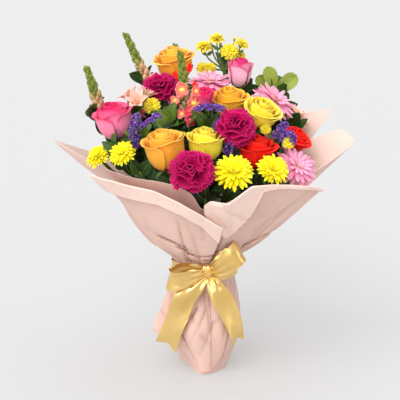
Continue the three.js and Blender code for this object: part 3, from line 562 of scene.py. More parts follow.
def daisies(shape, length, draw):
    """Small domed daisies and buds on thin forked twigs."""
    scale = length / 50
    place, turn = shape.place, shape.turn
    for x, y, z, r, facing in HEADS:
        heart, lean = np.array([x, y, z]) * scale, unit(facing)
        line = spline([[0, 0, 1], heart * [0.7, 0.7, 0.45], heart - lean * 0.3 * r], 8)
        shape.place, shape.turn = place, turn
        shape.grid(tube(line, np.linspace(1.4, 0.8, 8), 7), 1, (0.3, 0.3))
        cup = lathe(((0, -0.5), (0.16, -0.46), (0.42, -0.2), (0.5, 0.02), (0.2, 0.08), (0, 0.08)), 10)
        shape.grid(put(cup * r, heart, lean), 1, (0.4, 0.6))
        if r > TWIG_LEAF_R:
            small = blade(0.9 * r, 0.4 * r, lens, rise=0.3, bend=0.5, rows=6, columns=5, keel=0.2)
            for side in (-1, 1):
                made = along(small, line[5], (side, 0.2 * draw(), 0.9), (0, -1, 0.2))
                shape.petal(made, 0.5, 1, (0.2, 0.2))
        shape.place, shape.turn = place + turn @ heart, turn @ turn_to(lean)
        if r > BUD_R:
            daisy(shape, r, draw, *SMALL)
        else:
            closed = blade(r, r * 0.5, strap, rise=1.1, bend=-0.2, rows=5, columns=5)
            ring_of(shape, 9, lambda k, closed=closed: closed, draw, 0.6, (0.1 * r, -0.1 * r))
    shape.place, shape.turn = place, turn


# Tufts of statice about the foot, in shares of the length: middle, way and half length of each.
TUFTS = {
    "statice_left": (((-0.42, -0.3, 1.02), (0.35, 0, 1), 0.26), ((0.2, -0.35, 1.0), (1, 0, 0.62), 0.44),
                     ((-0.5, -0.45, 0.36), (-0.15, 0, 1), 0.36)),
    "statice_middle": (((-0.15, -0.2, 0.86), (1, 0, 0.15), 0.42), ((0.45, -0.1, 0.82), (1, 0, -0.2), 0.3),
                       ((0.62, -0.5, 0.15), (0.4, 0, 1), 0.3), ((1.15, -1.05, -0.75), (0.25, 0, 1), 0.36)),
    "statice_right": (((-0.5, -0.2, 0.88), (0.35, 0, 1), 0.32), ((-0.28, -0.3, 0.55), (0.5, 0, -1), 0.26),
                      ((-0.05, -0.4, 0.75), (0.4, 0, -0.6), 0.24)),
    "statice_rear": (((-0.4, 0.2, 0.8), (0.6, 0, 1), 0.36), ((0.4, 0.3, 0.8), (1, 0, 0.2), 0.36),
                     ((0.1, 0.5, 0.4), (1, 0, 0.4), 0.34)),
}
TUFT_FLORETS = 56


def statice(shape, length, draw, tufts):
    """Forked winged twigs that end in brushes of small papery florets."""
    cup = lathe(((0, -2.6), (0.9, -1.6), (1.9, 0.9), (1.7, 1.1), (0, 0)), 10, 5, 0.2)
    star = lathe(((0, 0), (0.4, 0.7), (0.8, 1.5), (0, 1.1)), 10, 5, 0.35)
    for middle, way, half in tufts:
        middle, way = np.array(middle) * length, unit(way)
        line = spline([[0, 0, 0], middle * [0.5, 0.5, 0.45], middle - way * half * length * 0.6,
                       middle + way * half * length * 0.8], 12)
        shape.grid(tube(line, np.linspace(1.6, 0.7, 12), 6), 2, (0.4, 0.5))
        for j in range(TUFT_FLORETS):
            share = 2 * (j + 0.5) / TUFT_FLORETS - 1
            out = unit(np.array([draw(), -0.5 + 0.8 * draw(), 0.7 + 0.6 * draw()]))
            out = unit(out - way * (out @ way) + way * 0.5 * share)
            bow = math.sqrt(1 - 0.8 * share ** 2)
            place = middle + way * half * length * share + out * (1.5 + 4 * bow) * (1 + 0.25 * draw())
            tilted = put(cup * (0.95 + 0.22 * draw()), place, out, j)
            shape.grid(tilted, 0, (0.5 + 0.5 * draw(), 0.5 + 0.5 * draw()))
            if j % 12 == 5:
                shape.grid(put(star, place, out, j), 1, (0.5, 0.5))


# Stems, cups and leaves

# The bunches of greens, a sixth of the turn each from +X on, and the seats of the stems in a bunch: distance
# from its middle in pitches, and angle.
SECTORS = ("back_right", "back", "back_left", "front_left", "front", "front_right")
PRESSED = ([(0, 0)] + [(1, k * np.pi / 3) for k in range(6)]
           + [(1.732 if k % 2 else 2, k * np.pi / 6) for k in range(12)])


def seats():
    """Where each stem ends: the point under its flower, its way, kind, radius and leaves."""
    for node, (kind, heart, facing, radius, _) in BLOOMS.items():
        axis = unit(facing)
        yield np.array(heart) - axis * DEPTH[kind] * radius * TALL.get(node, 1), axis, kind, radius, None
    for kind, foot, facing, _ in SPRAYS.values():
        yield np.array(foot, float), unit(facing), kind, 0, None
    for tip, facing, *leaves in LEAFY:
        yield np.array(tip, float), unit(facing), "leafy", 0, leaves


def clear(points, gap=8, heads=0.8):
    """Whether points keep inside the wrapper and out of the flower heads."""
    for _, heart, _, radius, _ in BLOOMS.values():
        if (np.linalg.norm(points - np.array(heart), axis=1) < heads * radius).any():
            return False
    angle = np.arctan2(points[:, 1], points[:, 0])
    rim_r, rim_z = rim_at("inner", angle)
    room = lerp(TIE_R, rim_r, np.clip((points[:, 2] - TIE_HIGH) / (rim_z - TIE_HIGH), 0, 1))
    room -= pinch(angle, points[:, 2])
    out = (np.hypot(points[:, 0], points[:, 1]) > room - gap) & (points[:, 2] < rim_z + 6)
    return not out.any()


# The fan of the light sprig at the back: each leaf's turn from the stem, and share of the full length.
FAN = ((-0.98, 0.78), (-0.28, 0.92), (0.3, 0.66), (0.86, 1.1), (1.75, 0.6))


def leaf(length, width, draw, outline=lens):
    return blade(length, width, outline, rise=0.1 + 0.1 * draw(), bend=0.55 + 0.3 * draw(), cup=0.12,
                 ruffle=(0.03 * width, 6, 3 * draw()), rows=11, columns=7, keel=0.22)


FIFTH, TWELFTH = 1.257, 0.524  # of a full turn, in radians


def calyx(shape, foot, axis, kind, radius, draw):
    """The green cup that carries a flower."""
    if kind in ("rose", "bud"):
        hip = lathe(((0, -9), (2.3, -8), (2.6, -5), (0.17 * radius, -2.5), (0.2 * radius, 0.2), (0, 1)), 12)
        shape.grid(put(hip, foot, axis), 0, (0.5, 0.5))
        for j in range(5):
            bend = 1.3 + 0.3 * draw()
            sepal = blade(0.62 * radius, 0.2 * radius, lens, rise=0.55, bend=bend,
                          rows=8, columns=5, keel=-0.2)
            sepal = put(sepal + [0.12 * radius, 0, 0], foot, axis, j * FIFTH)
            shape.petal(sepal, 0.5, 0, (0.5, 0.5))
    elif kind == "carnation":
        cup = lathe(((0, -12), (2.2, -11), (3.6, -8), (4.4, 0), (5.8, 6), (0, 5)), 12)
        shape.grid(put(cup, foot, axis), 0, (0.5, 0.7))
    elif kind in ("daisy", "gerbera"):
        cup = lathe(((0, -5), (2.2, -4.5), (0.24 * radius, -1), (0.3 * radius, 1.6), (0, 1.8)), 12)
        shape.grid(put(cup, foot, axis), 0, (0.5, 0.5))
        bract = blade(0.34 * radius, 0.14 * radius, lens, rise=0.9, bend=0.5, rows=4, columns=5)
        for j in range(12):
            shape.petal(put(bract + [0.18 * radius, 0, -0.5], foot, axis, j * TWELFTH), 0.4, 0, (0.4, 0.4))


def tip_leaves(shape, top, neck, axis, leaves, draw):
    """The leaves at the tip of a leafy stem: a fan if they are light, else in turn down the stem."""
    face, count, length, width, light = leaves
    side = unit(np.cross(axis, face))
    fanned = light > 0.8
    for j in range(count if fanned else 2 * count):
        if fanned:
            turn, share = FAN[j]
            root, way = top - axis * 2 * j, axis * math.cos(turn) + side * math.sin(turn)
        else:
            share, root = 1 - 0.06 * j, lerp(top, neck, 1.2 * j / (2 * count))
            way = axis + side * (0 if j == 0 else (0.55 + 0.35 * min(j, 4)) * (-1) ** j)
            way = way + 0.25 * jitter(draw)
        wide = width * (1 + 0.1 * draw()) * share ** 0.5
        made = leaf(length * share, wide, draw, paddle if fanned else lens)
        made = along(made, root, way, np.array(face) + (0.2 if fanned else 0.5) * jitter(draw))
        if fanned or clear(made[3::2, ::3].reshape(-1, 3), 4, 0.5):
            shade = light - (0.45 if fanned and j in (2, 4) else 0)
            shape.petal(made, 0.6, 1, (0.5 + 0.5 * draw(), np.clip(shade + 0.15 * draw(), 0, 1)))


def filling(shape, line, draw):
    """Broad leaves round the upper part of a stem, where they find room."""
    for j in range(FILL_LEAVES):
        share = lerp(0.52, 0.94, (j + 0.5 + 0.4 * draw()) / FILL_LEAVES)
        root = line[int(share * (STEM_ROWS - 1))]
        outward = unit(root * [1, 1, 0])
        turn = put(outward[None], spin=(0.5 + 0.7 * abs(draw())) * (-1) ** j)[0]
        size = 33 + 9 * draw()
        made = leaf(size, size * (0.5 + 0.08 * draw()), draw)
        way = turn + UP * (0.8 + 0.4 * draw())
        made = along(made, root, way, outward + UP * 0.5 + 0.5 * jitter(draw))
        if clear(made[2::2, ::3].reshape(-1, 3)):
            shape.petal(made, 0.6, 1, (0.5 + 0.5 * draw(), lerp(-0.35, 0.4, share) + 0.15 * draw()))
# Painted shade: leaves set lower on the stem, deeper in the bouquet, get a darker tone.


def greens(sector, members):
    """The stems of one side of the bouquet with their cups, leaves and the filling foliage."""
    shape, draw = Shape(), seeded(100 + sector)
    middle = math.radians(30 + 60 * sector)
    for k, (foot, axis, kind, radius, leaves) in enumerate(members):
        ring, angle = PRESSED[k]
        spread = polar(angle + middle, ring * STEM_PITCH, 0)
        tie = polar(middle, BUNDLE_RING, TIE_LOW + 12) + spread
        cut = polar(middle, FOOT_RING, CUT_Z) + FOOT_SHIFT + spread * FOOT_SPREAD
        top = foot - axis * 0.3
        neck = top + axis * (-26 if leaves else -16)
        line = spline([cut, tie, (tie + neck) / 2 + [0, 0, 14], neck, top], STEM_ROWS)
        girth = np.full(len(line), STEM_R)
        girth[-6:] = NECK_R
        shape.grid(tube(line, girth, 9), 0, (0.5 + 0.5 * draw(), 0.55))
        calyx(shape, foot, axis, kind, radius, draw)
        if leaves:
            tip_leaves(shape, top, neck, axis, leaves, draw)
        filling(shape, line, draw)
    return shape


# The wrapper

def wrapped(angle):
    """An angle brought to within half a turn of 0."""
    return (angle + np.pi) % (2 * np.pi) - np.pi


def rim_at(rim, theta):
    """Radius and height of a rim, a little rounded at its corners."""
    spots = np.array(RIMS[rim], float)
    angle = np.unwrap(np.arctan2(spots[:, 1], spots[:, 0]))
    values = np.column_stack([np.hypot(spots[:, 0], spots[:, 1]), spots[:, 2]])
    centre = (angle[0] + angle[-1]) / 2
    if rim == "inner":
        angle = np.concatenate([angle - 2 * np.pi, angle, angle + 2 * np.pi])
        values = np.tile(values, (3, 1))
    t = centre + wrapped(theta - centre)
    found = [sum(share * np.interp(t + step, angle, values[:, k])
                 for step, share in ((-0.02, 0.25), (0, 0.5), (0.02, 0.25))) for k in (0, 1)]
    return found[0], found[1]


def skirt_radius(theta, z):
    """The innermost sheet up to the top of the tie, with the steps of the table eased."""
    turn = (theta / (2 * np.pi)) % 1 * 8
    low = np.floor(turn).astype(int)
    share = turn - low
    share = share * share * (3 - 2 * share)
    levels, depths, radii = (np.array([row[k] for row in SKIRT], float) for k in range(3))
    around = lerp(radii[:, low % 8], radii[:, (low + 1) % 8], share)
    around += depths[:, None, None] * np.cos(7 * theta + 0.6)

    def level(height):
        height = np.clip(height, levels[0], levels[-1])
        i = np.clip(np.searchsorted(levels, height, "right") - 1, 0, len(levels) - 2)
        part = (height - levels[i]) / (levels[i + 1] - levels[i])
        low_r, high_r = (np.take_along_axis(around, j[None], 0)[0] for j in (i, i + 1))
        return lerp(low_r, high_r, part)

    ease = 9 * np.clip(np.minimum(z / 14, (TIE_LOW - z) / 12), 0, 1)
    return (level(z - ease) + 2 * level(z) + level(z + ease)) / 4


def ridge(x, crisp=0.93):
    """A wave with rather sharp crests."""
    return np.arcsin(crisp * np.sin(x)) / math.asin(crisp)


def radiating(draw, count, foot, reach, slant, depth, width):
    """Creases that run out from the tie, each unlike the next."""
    lines = []
    for k in range(count):
        at = 360 * (k + 0.4 * draw()) / count
        share = [0.5 + 0.5 * draw() for _ in range(3)]
        lines.append((at, foot, at + slant * draw(), foot + lerp(*reach, share[0]), lerp(*depth, share[1]),
                      lerp(*width, share[2])))
    return lines


# Creases of all sheets: degree round and height of both ends, depth and width.
CREASES = (
    radiating(seeded(7), 30, 150, (30, 130), 12, (3, 9), (1.6, 3.4))
    + radiating(seeded(8), 22, 137, (-50, -140), 18, (2, 7), (1.8, 3.6))
    + radiating(seeded(9), 15, 96, (-20, -60), 55, (1.5, 4), (2.2, 4))
    + radiating(seeded(10), 11, 205, (25, 80), 30, (3, 6), (5, 10))
    + [(228, 200, 263, 177, 13, 1.7), (242, 186, 266, 166, 11, 1.6), (288, 178, 258, 170, 11, 1.8),
       (270, 166, 292, 159, 6, 1.6), (250, 176, 272, 172, 7, 1.6), (320, 182, 346, 202, 12, 1.7),
       (318, 176, 300, 166, 9, 1.8), (258, 96, 237, 54, 6, 2.2), (236, 56, 262, 2, 6, 2.2),
       (292, 104, 310, 55, 6, 2.2), (310, 57, 306, 4, 6, 2.2), (272, 92, 250, 44, 3, 3.5),
       (284, 74, 262, 24, 3, 3.5), (266, 60, 290, 30, 2.5, 3)])

# Where the paper is drawn in at the left: height, spread upwards and depth.
PINCHES = ((167, 7.5, 13), (243, 24, 14))
PINCH_TURN, PINCH_WIDTH = math.radians(190), 0.33


# The raised lip beside a crease, in shares of its depth and width; the gathers over the tie: number, depth
# and reach; the height over which the waves grow; and the depth of the planes and creases below the tie.
LIP_DEPTH, LIP_WIDTH = 0.35, 5
GATHERS, GATHER_DEPTH, GATHER_REACH, WAVE_REACH = 15, 2.2, 26, 70
PLANE_DEPTH, LOW_CREASE = 0.7, 2.5


def over_tie(z):
    """From 0 at the top of the tie to 1 a little above it."""
    return np.clip((z - TIE_HIGH - 1) / 7, 0, 1)


def pinch(theta, z):
    """How far the paper is drawn in at the left: just over the tie, and under the corner of the cuff."""
    near = over_tie(z) * np.exp(-(wrapped(theta - PINCH_TURN) / PINCH_WIDTH) ** 2)
    return near * sum(depth * np.exp(-((z - height) / rise) ** 2) for height, rise, depth in PINCHES)


def folds(theta, z):
    """How far all sheets alike stand out from their smooth form, and how dark the painted shade in a crease
    is there.
    """
    total = np.zeros(np.broadcast(theta, z).shape)
    crease_shade = total.copy()
    for a, low, b, high, depth, width in CREASES:
        # A crease is a valley with a raised lip on one side, in millimetres along and off its line.
        girth = 46 + 0.85 * max(0, (low + high) / 2 - TIE_HIGH)
        x = girth * wrapped(theta - math.radians(a))
        across, up = girth * math.radians(b - a), high - low
        far = math.hypot(across, up)
        share = (x * across + (z - low) * up) / far ** 2
        off = (x * up - (z - low) * across) / far
        fade = np.clip(1 - share, 0, 1) ** 0.7 * np.clip(1 + 8 * share, 0, 1)
        lip = LIP_DEPTH * np.where(off > 0, np.exp(-np.abs(off) / (LIP_WIDTH * width)), 0)
        total -= depth * fade * (np.exp(-np.abs(off) / width) - lip)
        # Painted shade along the narrow creases, darkest along the middle of the deepest and narrowest.
        crease_shade += depth * fade * np.exp(-(off / (0.8 * width)) ** 2) * min(1, 3 / width) ** 2
    # Gathers close over the tie, slow waves higher up, and soft planes of paper below the tie.
    near = np.exp(-np.maximum(0, z - TIE_HIGH) / GATHER_REACH)
    gathers = GATHER_DEPTH * near * (ridge(GATHERS * theta + 1.5 * np.sin(2 * theta)) - 1)
    climb = np.clip((z - TIE_HIGH) / WAVE_REACH, 0, 1)
    waves = climb * (1.7 * np.sin(6 * theta + 0.9 + 0.012 * z) + 0.8 * np.sin(11 * theta - 0.018 * z) - 2)
    planes = PLANE_DEPTH * (ridge(5.3 * theta + 0.035 * z + 1) + ridge(2.9 * theta - 0.075 * z) - 2)
    above = over_tie(z)
    below = np.clip(np.minimum((TIE_LOW - 3 - z) / 9, z / 8), 0, 1)
    upper, lower = above * (total + gathers + waves), below * (np.minimum(total, LOW_CREASE) + planes)
    return upper - pinch(theta, z) + lower, (above + below) * crease_shade


STEPS = 36  # steps round the bouquet, from which a sheet takes those that it spans
COLUMNS = 9  # columns of points in a step
# Rows of points in the skirt, the tie, the body of a sheet, the bend of its cuff and the part that hangs.
SKIRT_ROWS, TIE_ROWS, BODY_ROWS, BEND_ROWS, FALL_ROWS = 40, 6, 57, 7, 30

# How the puff of a side runs up its height, how a wing fades upwards, and how far a lapel steps out.
PUFF_RISE, WING_FADE = ((0, 0.16, 0.5, 1), (0, 1, 0.9, 0)), ((20, 60, 100, 131), (1, 0.8, 0.25, 0))
HEM_Z, LAPEL_STEP = 0.4, 4.5


def sheet(rim, layer, start=0, end=STEPS, hem=None, puff=None, wing=None, cuff=None, lap=None):
    """A sheet from its lower hem through the tie to its rim, then its turned-down cuff."""
    closed = end - start == STEPS
    u = np.linspace(0, 1, (end - start) * COLUMNS + 1)[None, :]
    theta = 2 * np.pi * (start + (end - start) * u) / STEPS
    out = layer * LAYER_GAP
    zero = np.zeros_like(u)
    puffed = puff(u) if puff else zero
    winged = wing(u) if wing else zero
    low = hem(u) if hem else zero + HEM_Z
    z = lerp(low, TIE_LOW, np.linspace(0, 1, SKIRT_ROWS)[:, None])
    wings = winged * np.interp(z, *WING_FADE)
    r = skirt_radius(theta + 0 * z, z) + out + wings
    if closed:
        inward = np.array([0, 0.25, 0.5, 0.75, 0.93])[:, None]
        r, z = np.concatenate([inward * r[:1], r]), np.concatenate([0 * inward + z[:1], z])
    tie = np.linspace(TIE_LOW, TIE_HIGH, TIE_ROWS)[1:, None] + zero
    r, z = np.concatenate([r, skirt_radius(theta + 0 * tie, tie) + out]), np.concatenate([z, tie])
    t = np.linspace(0, 1, BODY_ROWS)[1:, None] ** 1.3
    edge_r, edge_z = (q.reshape(u.shape) for q in rim_at(rim, theta.ravel()))
    puffs = sum(np.interp(t + step, *PUFF_RISE) for step in (-0.06, 0, 0.06)) / 3
    puffs = puffs * np.clip(t / 0.06, 0, 1)
    bulge = (2 * np.cos(5 * theta + 0.9) - 2) * np.sin(np.pi * t) if closed else puffed * puffs
    r = np.concatenate([r, lerp(r[-1:], edge_r, t) + bulge * (1 - t ** 8)])
    z = np.concatenate([z, lerp(TIE_HIGH, edge_z, t)])
    body = len(r)
    if cuff:
        drop, slope = cuff(u), (edge_r - TIE_R - out) / (edge_z - TIE_HIGH)
        bend = np.linspace(0, np.pi, BEND_ROWS)[1:, None]
        half = CUFF_GAP / 2
        fall = np.linspace(0, 1, FALL_ROWS)[1:, None]
        lapped = LAPEL_STEP * np.clip((drop * fall - lap(u)) / 3, 0, 1) if lap else 0
        turned = edge_r + half * (1 - np.cos(bend))
        hanging = (edge_r + CUFF_GAP + lapped + fall * (0.8 * CUFF_GAP - 0.85 * drop * slope)
                   + 2 * (drop / 38) * fall ** 2)
        r = np.concatenate([r, turned, hanging])
        z = np.concatenate([z, edge_z + half * np.sin(bend), edge_z - drop * fall])
    moved, crease_shade = folds(theta + 0 * z, z)
    # The painted crease shade is weaker on the cuff.
    crease_shade[body:] *= 0.3
    return polar(theta + 0 * z, r + moved, z), theta + 0 * z, crease_shade


# Each sheet: layer, the steps that it spans, and by the share u across it the height of its lower hem, the
# puff of its side, the wing at its foot, the drop of its cuff, and how far down that steps over another cuff.
SHEETS = {
    "inner": dict(layer=0),
    "back": dict(
        layer=1, start=2, end=13, hem=lambda u: 36 - 10 * np.sin(9 * u),
        puff=lambda u: 3 + 2 * np.cos(14 * u)),
    "left": dict(
        layer=2, start=20, end=28, hem=lambda u: np.interp(u, (0, 0.33, 0.6, 0.8), (56, 26, 18, 5)),
        puff=lambda u: 11 - 6 * u, wing=lambda u: 18 * np.maximum(0, 1 - 3.5 * u),
        cuff=lambda u: np.interp(u, (0, 0.85, 1), (22, 17, 25))),
    "right": dict(
        layer=1, start=27, end=34, hem=lambda u: np.interp(u, (0, 0.25, 0.5, 1), (4, 8, 30, 34)),
        puff=lambda u: 2 + 5 * u,
        cuff=lambda u: np.interp(u, (0, 0.05, 0.13, 0.25, 0.4, 0.455, 0.475, 0.6, 1),
                                 (10, 30, 41, 62, 52, 44, 8, 4, 3)),
        lap=lambda u: np.interp(u, (0, 0.14, 0.36, 1), (-4, 1, 44, 120))),
}

# Width, length and area of each sheet laid flat, in metres.
FLAT = {
    "inner": (0.62, 0.4, 0.154), "back": (0.34, 0.34, 0.055),
    "left": (0.3, 0.33, 0.037), "right": (0.3, 0.3, 0.033),
}


# The ribbon and the twine

KNOT, KNOT_HALF = np.array([5.0, -55.0, 150.0]), (8.5, 7, 10)
RIBBON, NOTCH = 0.5, 0.62  # thickness, and depth of the notch in a tail as a share of a step of its line
# Loops and tails: points along the middle with the half width there, and the way across the ribbon at each.
LOOPS = {
    "left": (((2.5, -56, 151, 5), (-16, -60, 153, 10), (-35, -59, 149, 13), (-48.5, -62, 144, 14),
              (-42, -72, 140, 14.5), (-20, -70, 144, 12), (2.5, -59, 149, 5)),
             ((0.1, 0, 1), (0, 0, 1), (0, 0.1, 1), (0.1, 0, 1), (0.15, -0.1, 1), (0.3, 0, 1), (0.3, 0, 1))),
    "right": (((7.5, -56, 152, 5), (18, -61, 159, 10), (31, -64, 172, 14), (46, -68, 183, 15),
               (40, -78, 176, 15), (23, -74, 161, 12), (7.5, -60, 150, 5)), ((-0.6, 0, 0.8),) * 7),
}
TAILS = {
    "left": (((2.5, -57, 145, 5), (-12, -62, 131, 12), (-27, -64, 113, 15), (-34, -62, 93, 14.5),
              (-41, -58, 73, 14), (-48, -52, 52, 15), (-52, -48, 40, 16)),
             ((1, 0, -0.2), (1, -0.1, -0.4), (1, -0.1, -0.45), (1, -0.15, -0.42), (1, -0.2, -0.45),
              (1, -0.2, -0.55), (1, -0.2, -0.62))),
    "right": (((7.5, -57, 145, 5), (15, -62, 130, 11), (27, -63, 108, 14.5), (37, -61, 86, 13),
               (43, -57, 65, 12), (46, -51, 44, 13.5)),
              ((1, 0, 0.2), (1, 0.15, 0.4), (1, 0.2, 0.45), (0.88, 0.42, 0.36), (0.75, 0.55, 0.38),
               (0.66, 0.62, 0.44))),
}


def strip(line, wide, notch=0.0):
    """A length of ribbon, pleated where it leaves the knot; a notched one is a tail with a free end."""
    c = np.linspace(-1, 1, 17)[None, :]
    t = np.linspace(0, 1, 56)[:, None] * (1 - notch * (1 - np.abs(c)) / (len(line) - 1))
    spots, across = spline(line, t), spline([unit(w) for w in wide], t)
    middle, half = spots[..., :3], spots[..., 3:]
    way = np.gradient(middle, axis=0)
    normal = np.cross(way, across)
    normal /= np.maximum(1e-9, np.linalg.norm(normal, axis=-1, keepdims=True))
    ends = np.exp(-(t / 0.2) ** 2) + (0 if notch else np.exp(-((1 - t) / 0.2) ** 2))
    loose = (1 - ends) * np.minimum(1, 4 * t)
    waves = 2.3 * np.sin(2.1 * c + 5 * t + 0.5) + 2.6 * np.sin(10 * t + 1.3 * c)
    pleats = 1.5 * ends * ridge(7.5 * c + 1) + loose * waves
    return middle + across * half * c[..., None] + normal * pleats[..., None]


OVERLAP = math.radians(240)  # where the edges of the front sheets lie over each other under the band


def ribbon():
    """The band round the tie, which lies over the edges of the front sheets, then knot, loops and tails."""
    shape = Shape()
    theta = np.linspace(0, 2 * np.pi, 181)[None, :]
    z = np.linspace(TIE_LOW + 1, TIE_HIGH - 1, 13)[:, None] + 0 * theta
    front = np.clip((np.cos(theta - OVERLAP) - 0.5) / 0.25, 0, 1)
    out = 2 * LAYER_GAP + LAYER_GAP * front
    off_middle = np.abs(z - (TIE_LOW + TIE_HIGH) / 2)
    pleat = 0.5 * ridge(0.75 * z + 1.5 * np.sin(2 * theta)) * np.clip(2.5 - off_middle / 5, 0, 1)
    band = polar(theta + 0 * z, skirt_radius(theta + 0 * z, z) + out + 0.6 + pleat, z)
    shape.petal(band[:, ::-1], RIBBON)
    a = np.linspace(0, 2 * np.pi, 61)[None, :]
    h = np.linspace(-1, 1, 21)[:, None]
    girth = np.sqrt(np.maximum(0, 1 - h ** 6)) * (0.86 + 0.14 * np.cos(np.pi * h))
    girth = girth * (1 + 0.09 * ridge(9 * a + 1.2 * h))
    wide, thick, high = KNOT_HALF
    knot = np.stack([wide * np.cos(a) * girth, thick * np.sin(a) * girth, high * h + 0 * a], -1)
    shape.grid(knot + KNOT)
    for line, wide in LOOPS.values():
        shape.petal(strip(line, wide), RIBBON)
    for line, wide in TAILS.values():
        shape.petal(strip(line, wide, NOTCH), RIBBON)
    return shape


def twine():
    """Two turns of twine round the stems, twisted from two strands."""
    shape = Shape()
    a = np.linspace(0, 4 * np.pi, 121)
    climb = TWINE_Z + 2.6 * a / (4 * np.pi)
    apart, strand_r, twists = 0.45, 0.6, 22
    for strand in range(2):
        twist = twists * a + np.pi * strand
        line = polar(a, TWINE_R + apart * np.cos(twist), climb + apart * np.sin(twist))
        shape.grid(tube(line, strand_r, 6))
    return shape


# Paints

def linear(code):
    """A hexadecimal colour as linear light."""
    parts = [int(code[i:i + 2], 16) / 255 for i in (0, 2, 4)]
    return [c / 12.92 if c <= 0.04045 else ((c + 0.055) / 1.055) ** 2.4 for c in parts] + [1.0]


class Paint:
    """A material with one principled shader, and short ways to add its nodes."""

    def __init__(self, name, **values):
        self.material = bpy.data.materials.new(name)
        self.material.use_nodes = True
        self.tree = self.material.node_tree
        self.shader = self.tree.nodes["Principled BSDF"]
        for key, value in values.items():
            self.shader.inputs[key.replace("_", " ")].default_value = value

    def node(self, kind, inputs=(), **settings):
        made = self.tree.nodes.new("ShaderNode" + kind)
        for key, value in settings.items():
            setattr(made, key, value)
        for key, value in dict(inputs).items():
            if isinstance(value, bpy.types.NodeSocket):
                self.tree.links.new(value, made.inputs[key])
            else:
                made.inputs[key].default_value = value
        return made

    def math(self, operation, a, b=0.0, c=0.0):
        return self.node("Math", {0: a, 1: b, 2: c}, operation=operation).outputs[0]

    def fit(self, value, slope, start=0.0):
        """value times slope, plus start."""
        return self.math("MULTIPLY_ADD", value, slope, start)

    def shares(self):
        found = self.node("SeparateXYZ", {0: self.node("UVMap", uv_map="share").outputs[0]})
        return found.outputs[0], found.outputs[1]

    def tones(self):
        tone = self.node("Attribute", attribute_name="tone").outputs["Color"]
        found = self.node("SeparateColor", {0: tone})
        return found.outputs[0], found.outputs[1]

    def spots(self):
        return self.node("TexCoord").outputs["Object"]

    def noise(self, source, scale, detail=3.0):
        return self.node("TexNoise", {"Vector": source, "Scale": scale, "Detail": detail}).outputs["Fac"]

    def fibres(self, detail, *axes):
        """Noise drawn out along an axis; each axis is a value and its scale."""
        spots = {k: self.fit(*axis) for k, axis in enumerate(axes)}
        return self.noise(self.node("CombineXYZ", spots).outputs[0], 1.0, detail)

    def ramp(self, share, *stops):
        made = self.node("ValToRGB", {0: share})
        while len(made.color_ramp.elements) < len(stops):
            made.color_ramp.elements.new(0.5)
        for element, (spot, colour) in zip(made.color_ramp.elements, stops):
            element.position, element.color = spot, colour if len(colour) == 4 else linear(colour)
        return made.outputs[0]

    def mix(self, share, a, b, blend="MIX"):
        return self.node("Mix", {0: share, 6: a, 7: b}, data_type="RGBA", blend_type=blend).outputs[2]

    def shade(self, colour, amount):
        """A colour made lighter or darker by an amount round 1."""
        grey = self.node("CombineColor", {0: amount, 1: amount, 2: amount}).outputs[0]
        return self.mix(1.0, colour, grey, "MULTIPLY")

    def finish(self, colour, height, strength, distance):
        """The material with its colour, and a bump from a height."""
        self.tree.links.new(colour, self.shader.inputs["Base Color"])
        bump = self.node("Bump", {"Height": height, "Strength": strength, "Distance": distance})
        self.tree.links.new(bump.outputs[0], self.shader.inputs["Normal"])
        return self.material


def grey(level):
    """A grey as linear light."""
    return [level, level, level, 1.0]


def petal_paint(name, base, body, edge, heart=None, depth=None, ribs=26, spread=0.14, thin=0.2, streak=0.22,
                tint=(0.2, 0.75), gloss=0.3):
    """Petals from base to edge; heart tints the inner ones, and fine ribs run along them."""
    p = Paint(name, Roughness=0.5, Subsurface_Weight=thin, Subsurface_Scale=0.005, Sheen_Weight=0.3 * gloss,
              Specular_IOR_Level=gloss)
    across, length = p.shares()
    draw, inner = p.tones()
    colour = p.ramp(length, (0.0, base), (0.4, body), (0.8, body), (1.0, edge))
    if heart:
        # Depth, at the base of the tinted petals, is painted shade deep in the roses and carnations; in the
        # alstroemeria and the snapdragons it is their own colour.
        tinted = p.ramp(length, (0.0, depth), (0.6, heart), (0.85, heart), (1.0, edge))
        colour = p.mix(p.ramp(inner, (tint[0], grey(1)), (tint[1], grey(0))), colour, tinted)
    rib = p.fibres(2.0, (across, ribs), (length, 1.6), (draw, 40))
    mottle = p.noise(p.spots(), 210.0)
    uneven = p.fit(p.math("ADD", rib, mottle), streak, -streak)
    amount = p.math("ADD", p.fit(draw, spread, 1 - spread / 2), uneven)
    return p.finish(p.shade(colour, amount), rib, strength=0.4, distance=0.0003)


def leaf_paint(name):
    """Leaves from dark to light by their tone, which carries painted light and shade, with a pale midrib and
    side veins.
    """
    p = Paint(name, Roughness=0.42, Subsurface_Weight=0.05, Subsurface_Scale=0.002, Specular_IOR_Level=0.5)
    across, length = p.shares()
    draw, light = p.tones()
    # The near-black end of the ramp is painted shade for leaves deep in the bouquet.
    colour = p.ramp(light, (0.0, "0b1b09"), (0.3, "254c19"), (0.6, "4c7526"), (1.0, "a4a634"))
    off = p.math("ABSOLUTE", p.math("SUBTRACT", across, 0.5))
    midrib = p.ramp(off, (0.0, grey(1)), (0.035, grey(0.8)), (0.06, grey(0)))
    wave = p.math("SINE", p.fit(p.math("SUBTRACT", length, off), 62.0))
    side_veins = p.fit(p.math("POWER", p.fit(wave, 0.5, 0.5), 6.0), 0.45)
    veins = p.math("MAXIMUM", midrib, side_veins)
    colour = p.mix(p.fit(veins, 0.33), colour, linear("86a548"))
    mottle = p.noise(p.spots(), 150.0, 4.0)
    amount = p.math("ADD", p.fit(draw, 0.4, 0.55), p.fit(mottle, 0.5))
    return p.finish(p.shade(colour, amount), veins, strength=0.45, distance=0.0005)


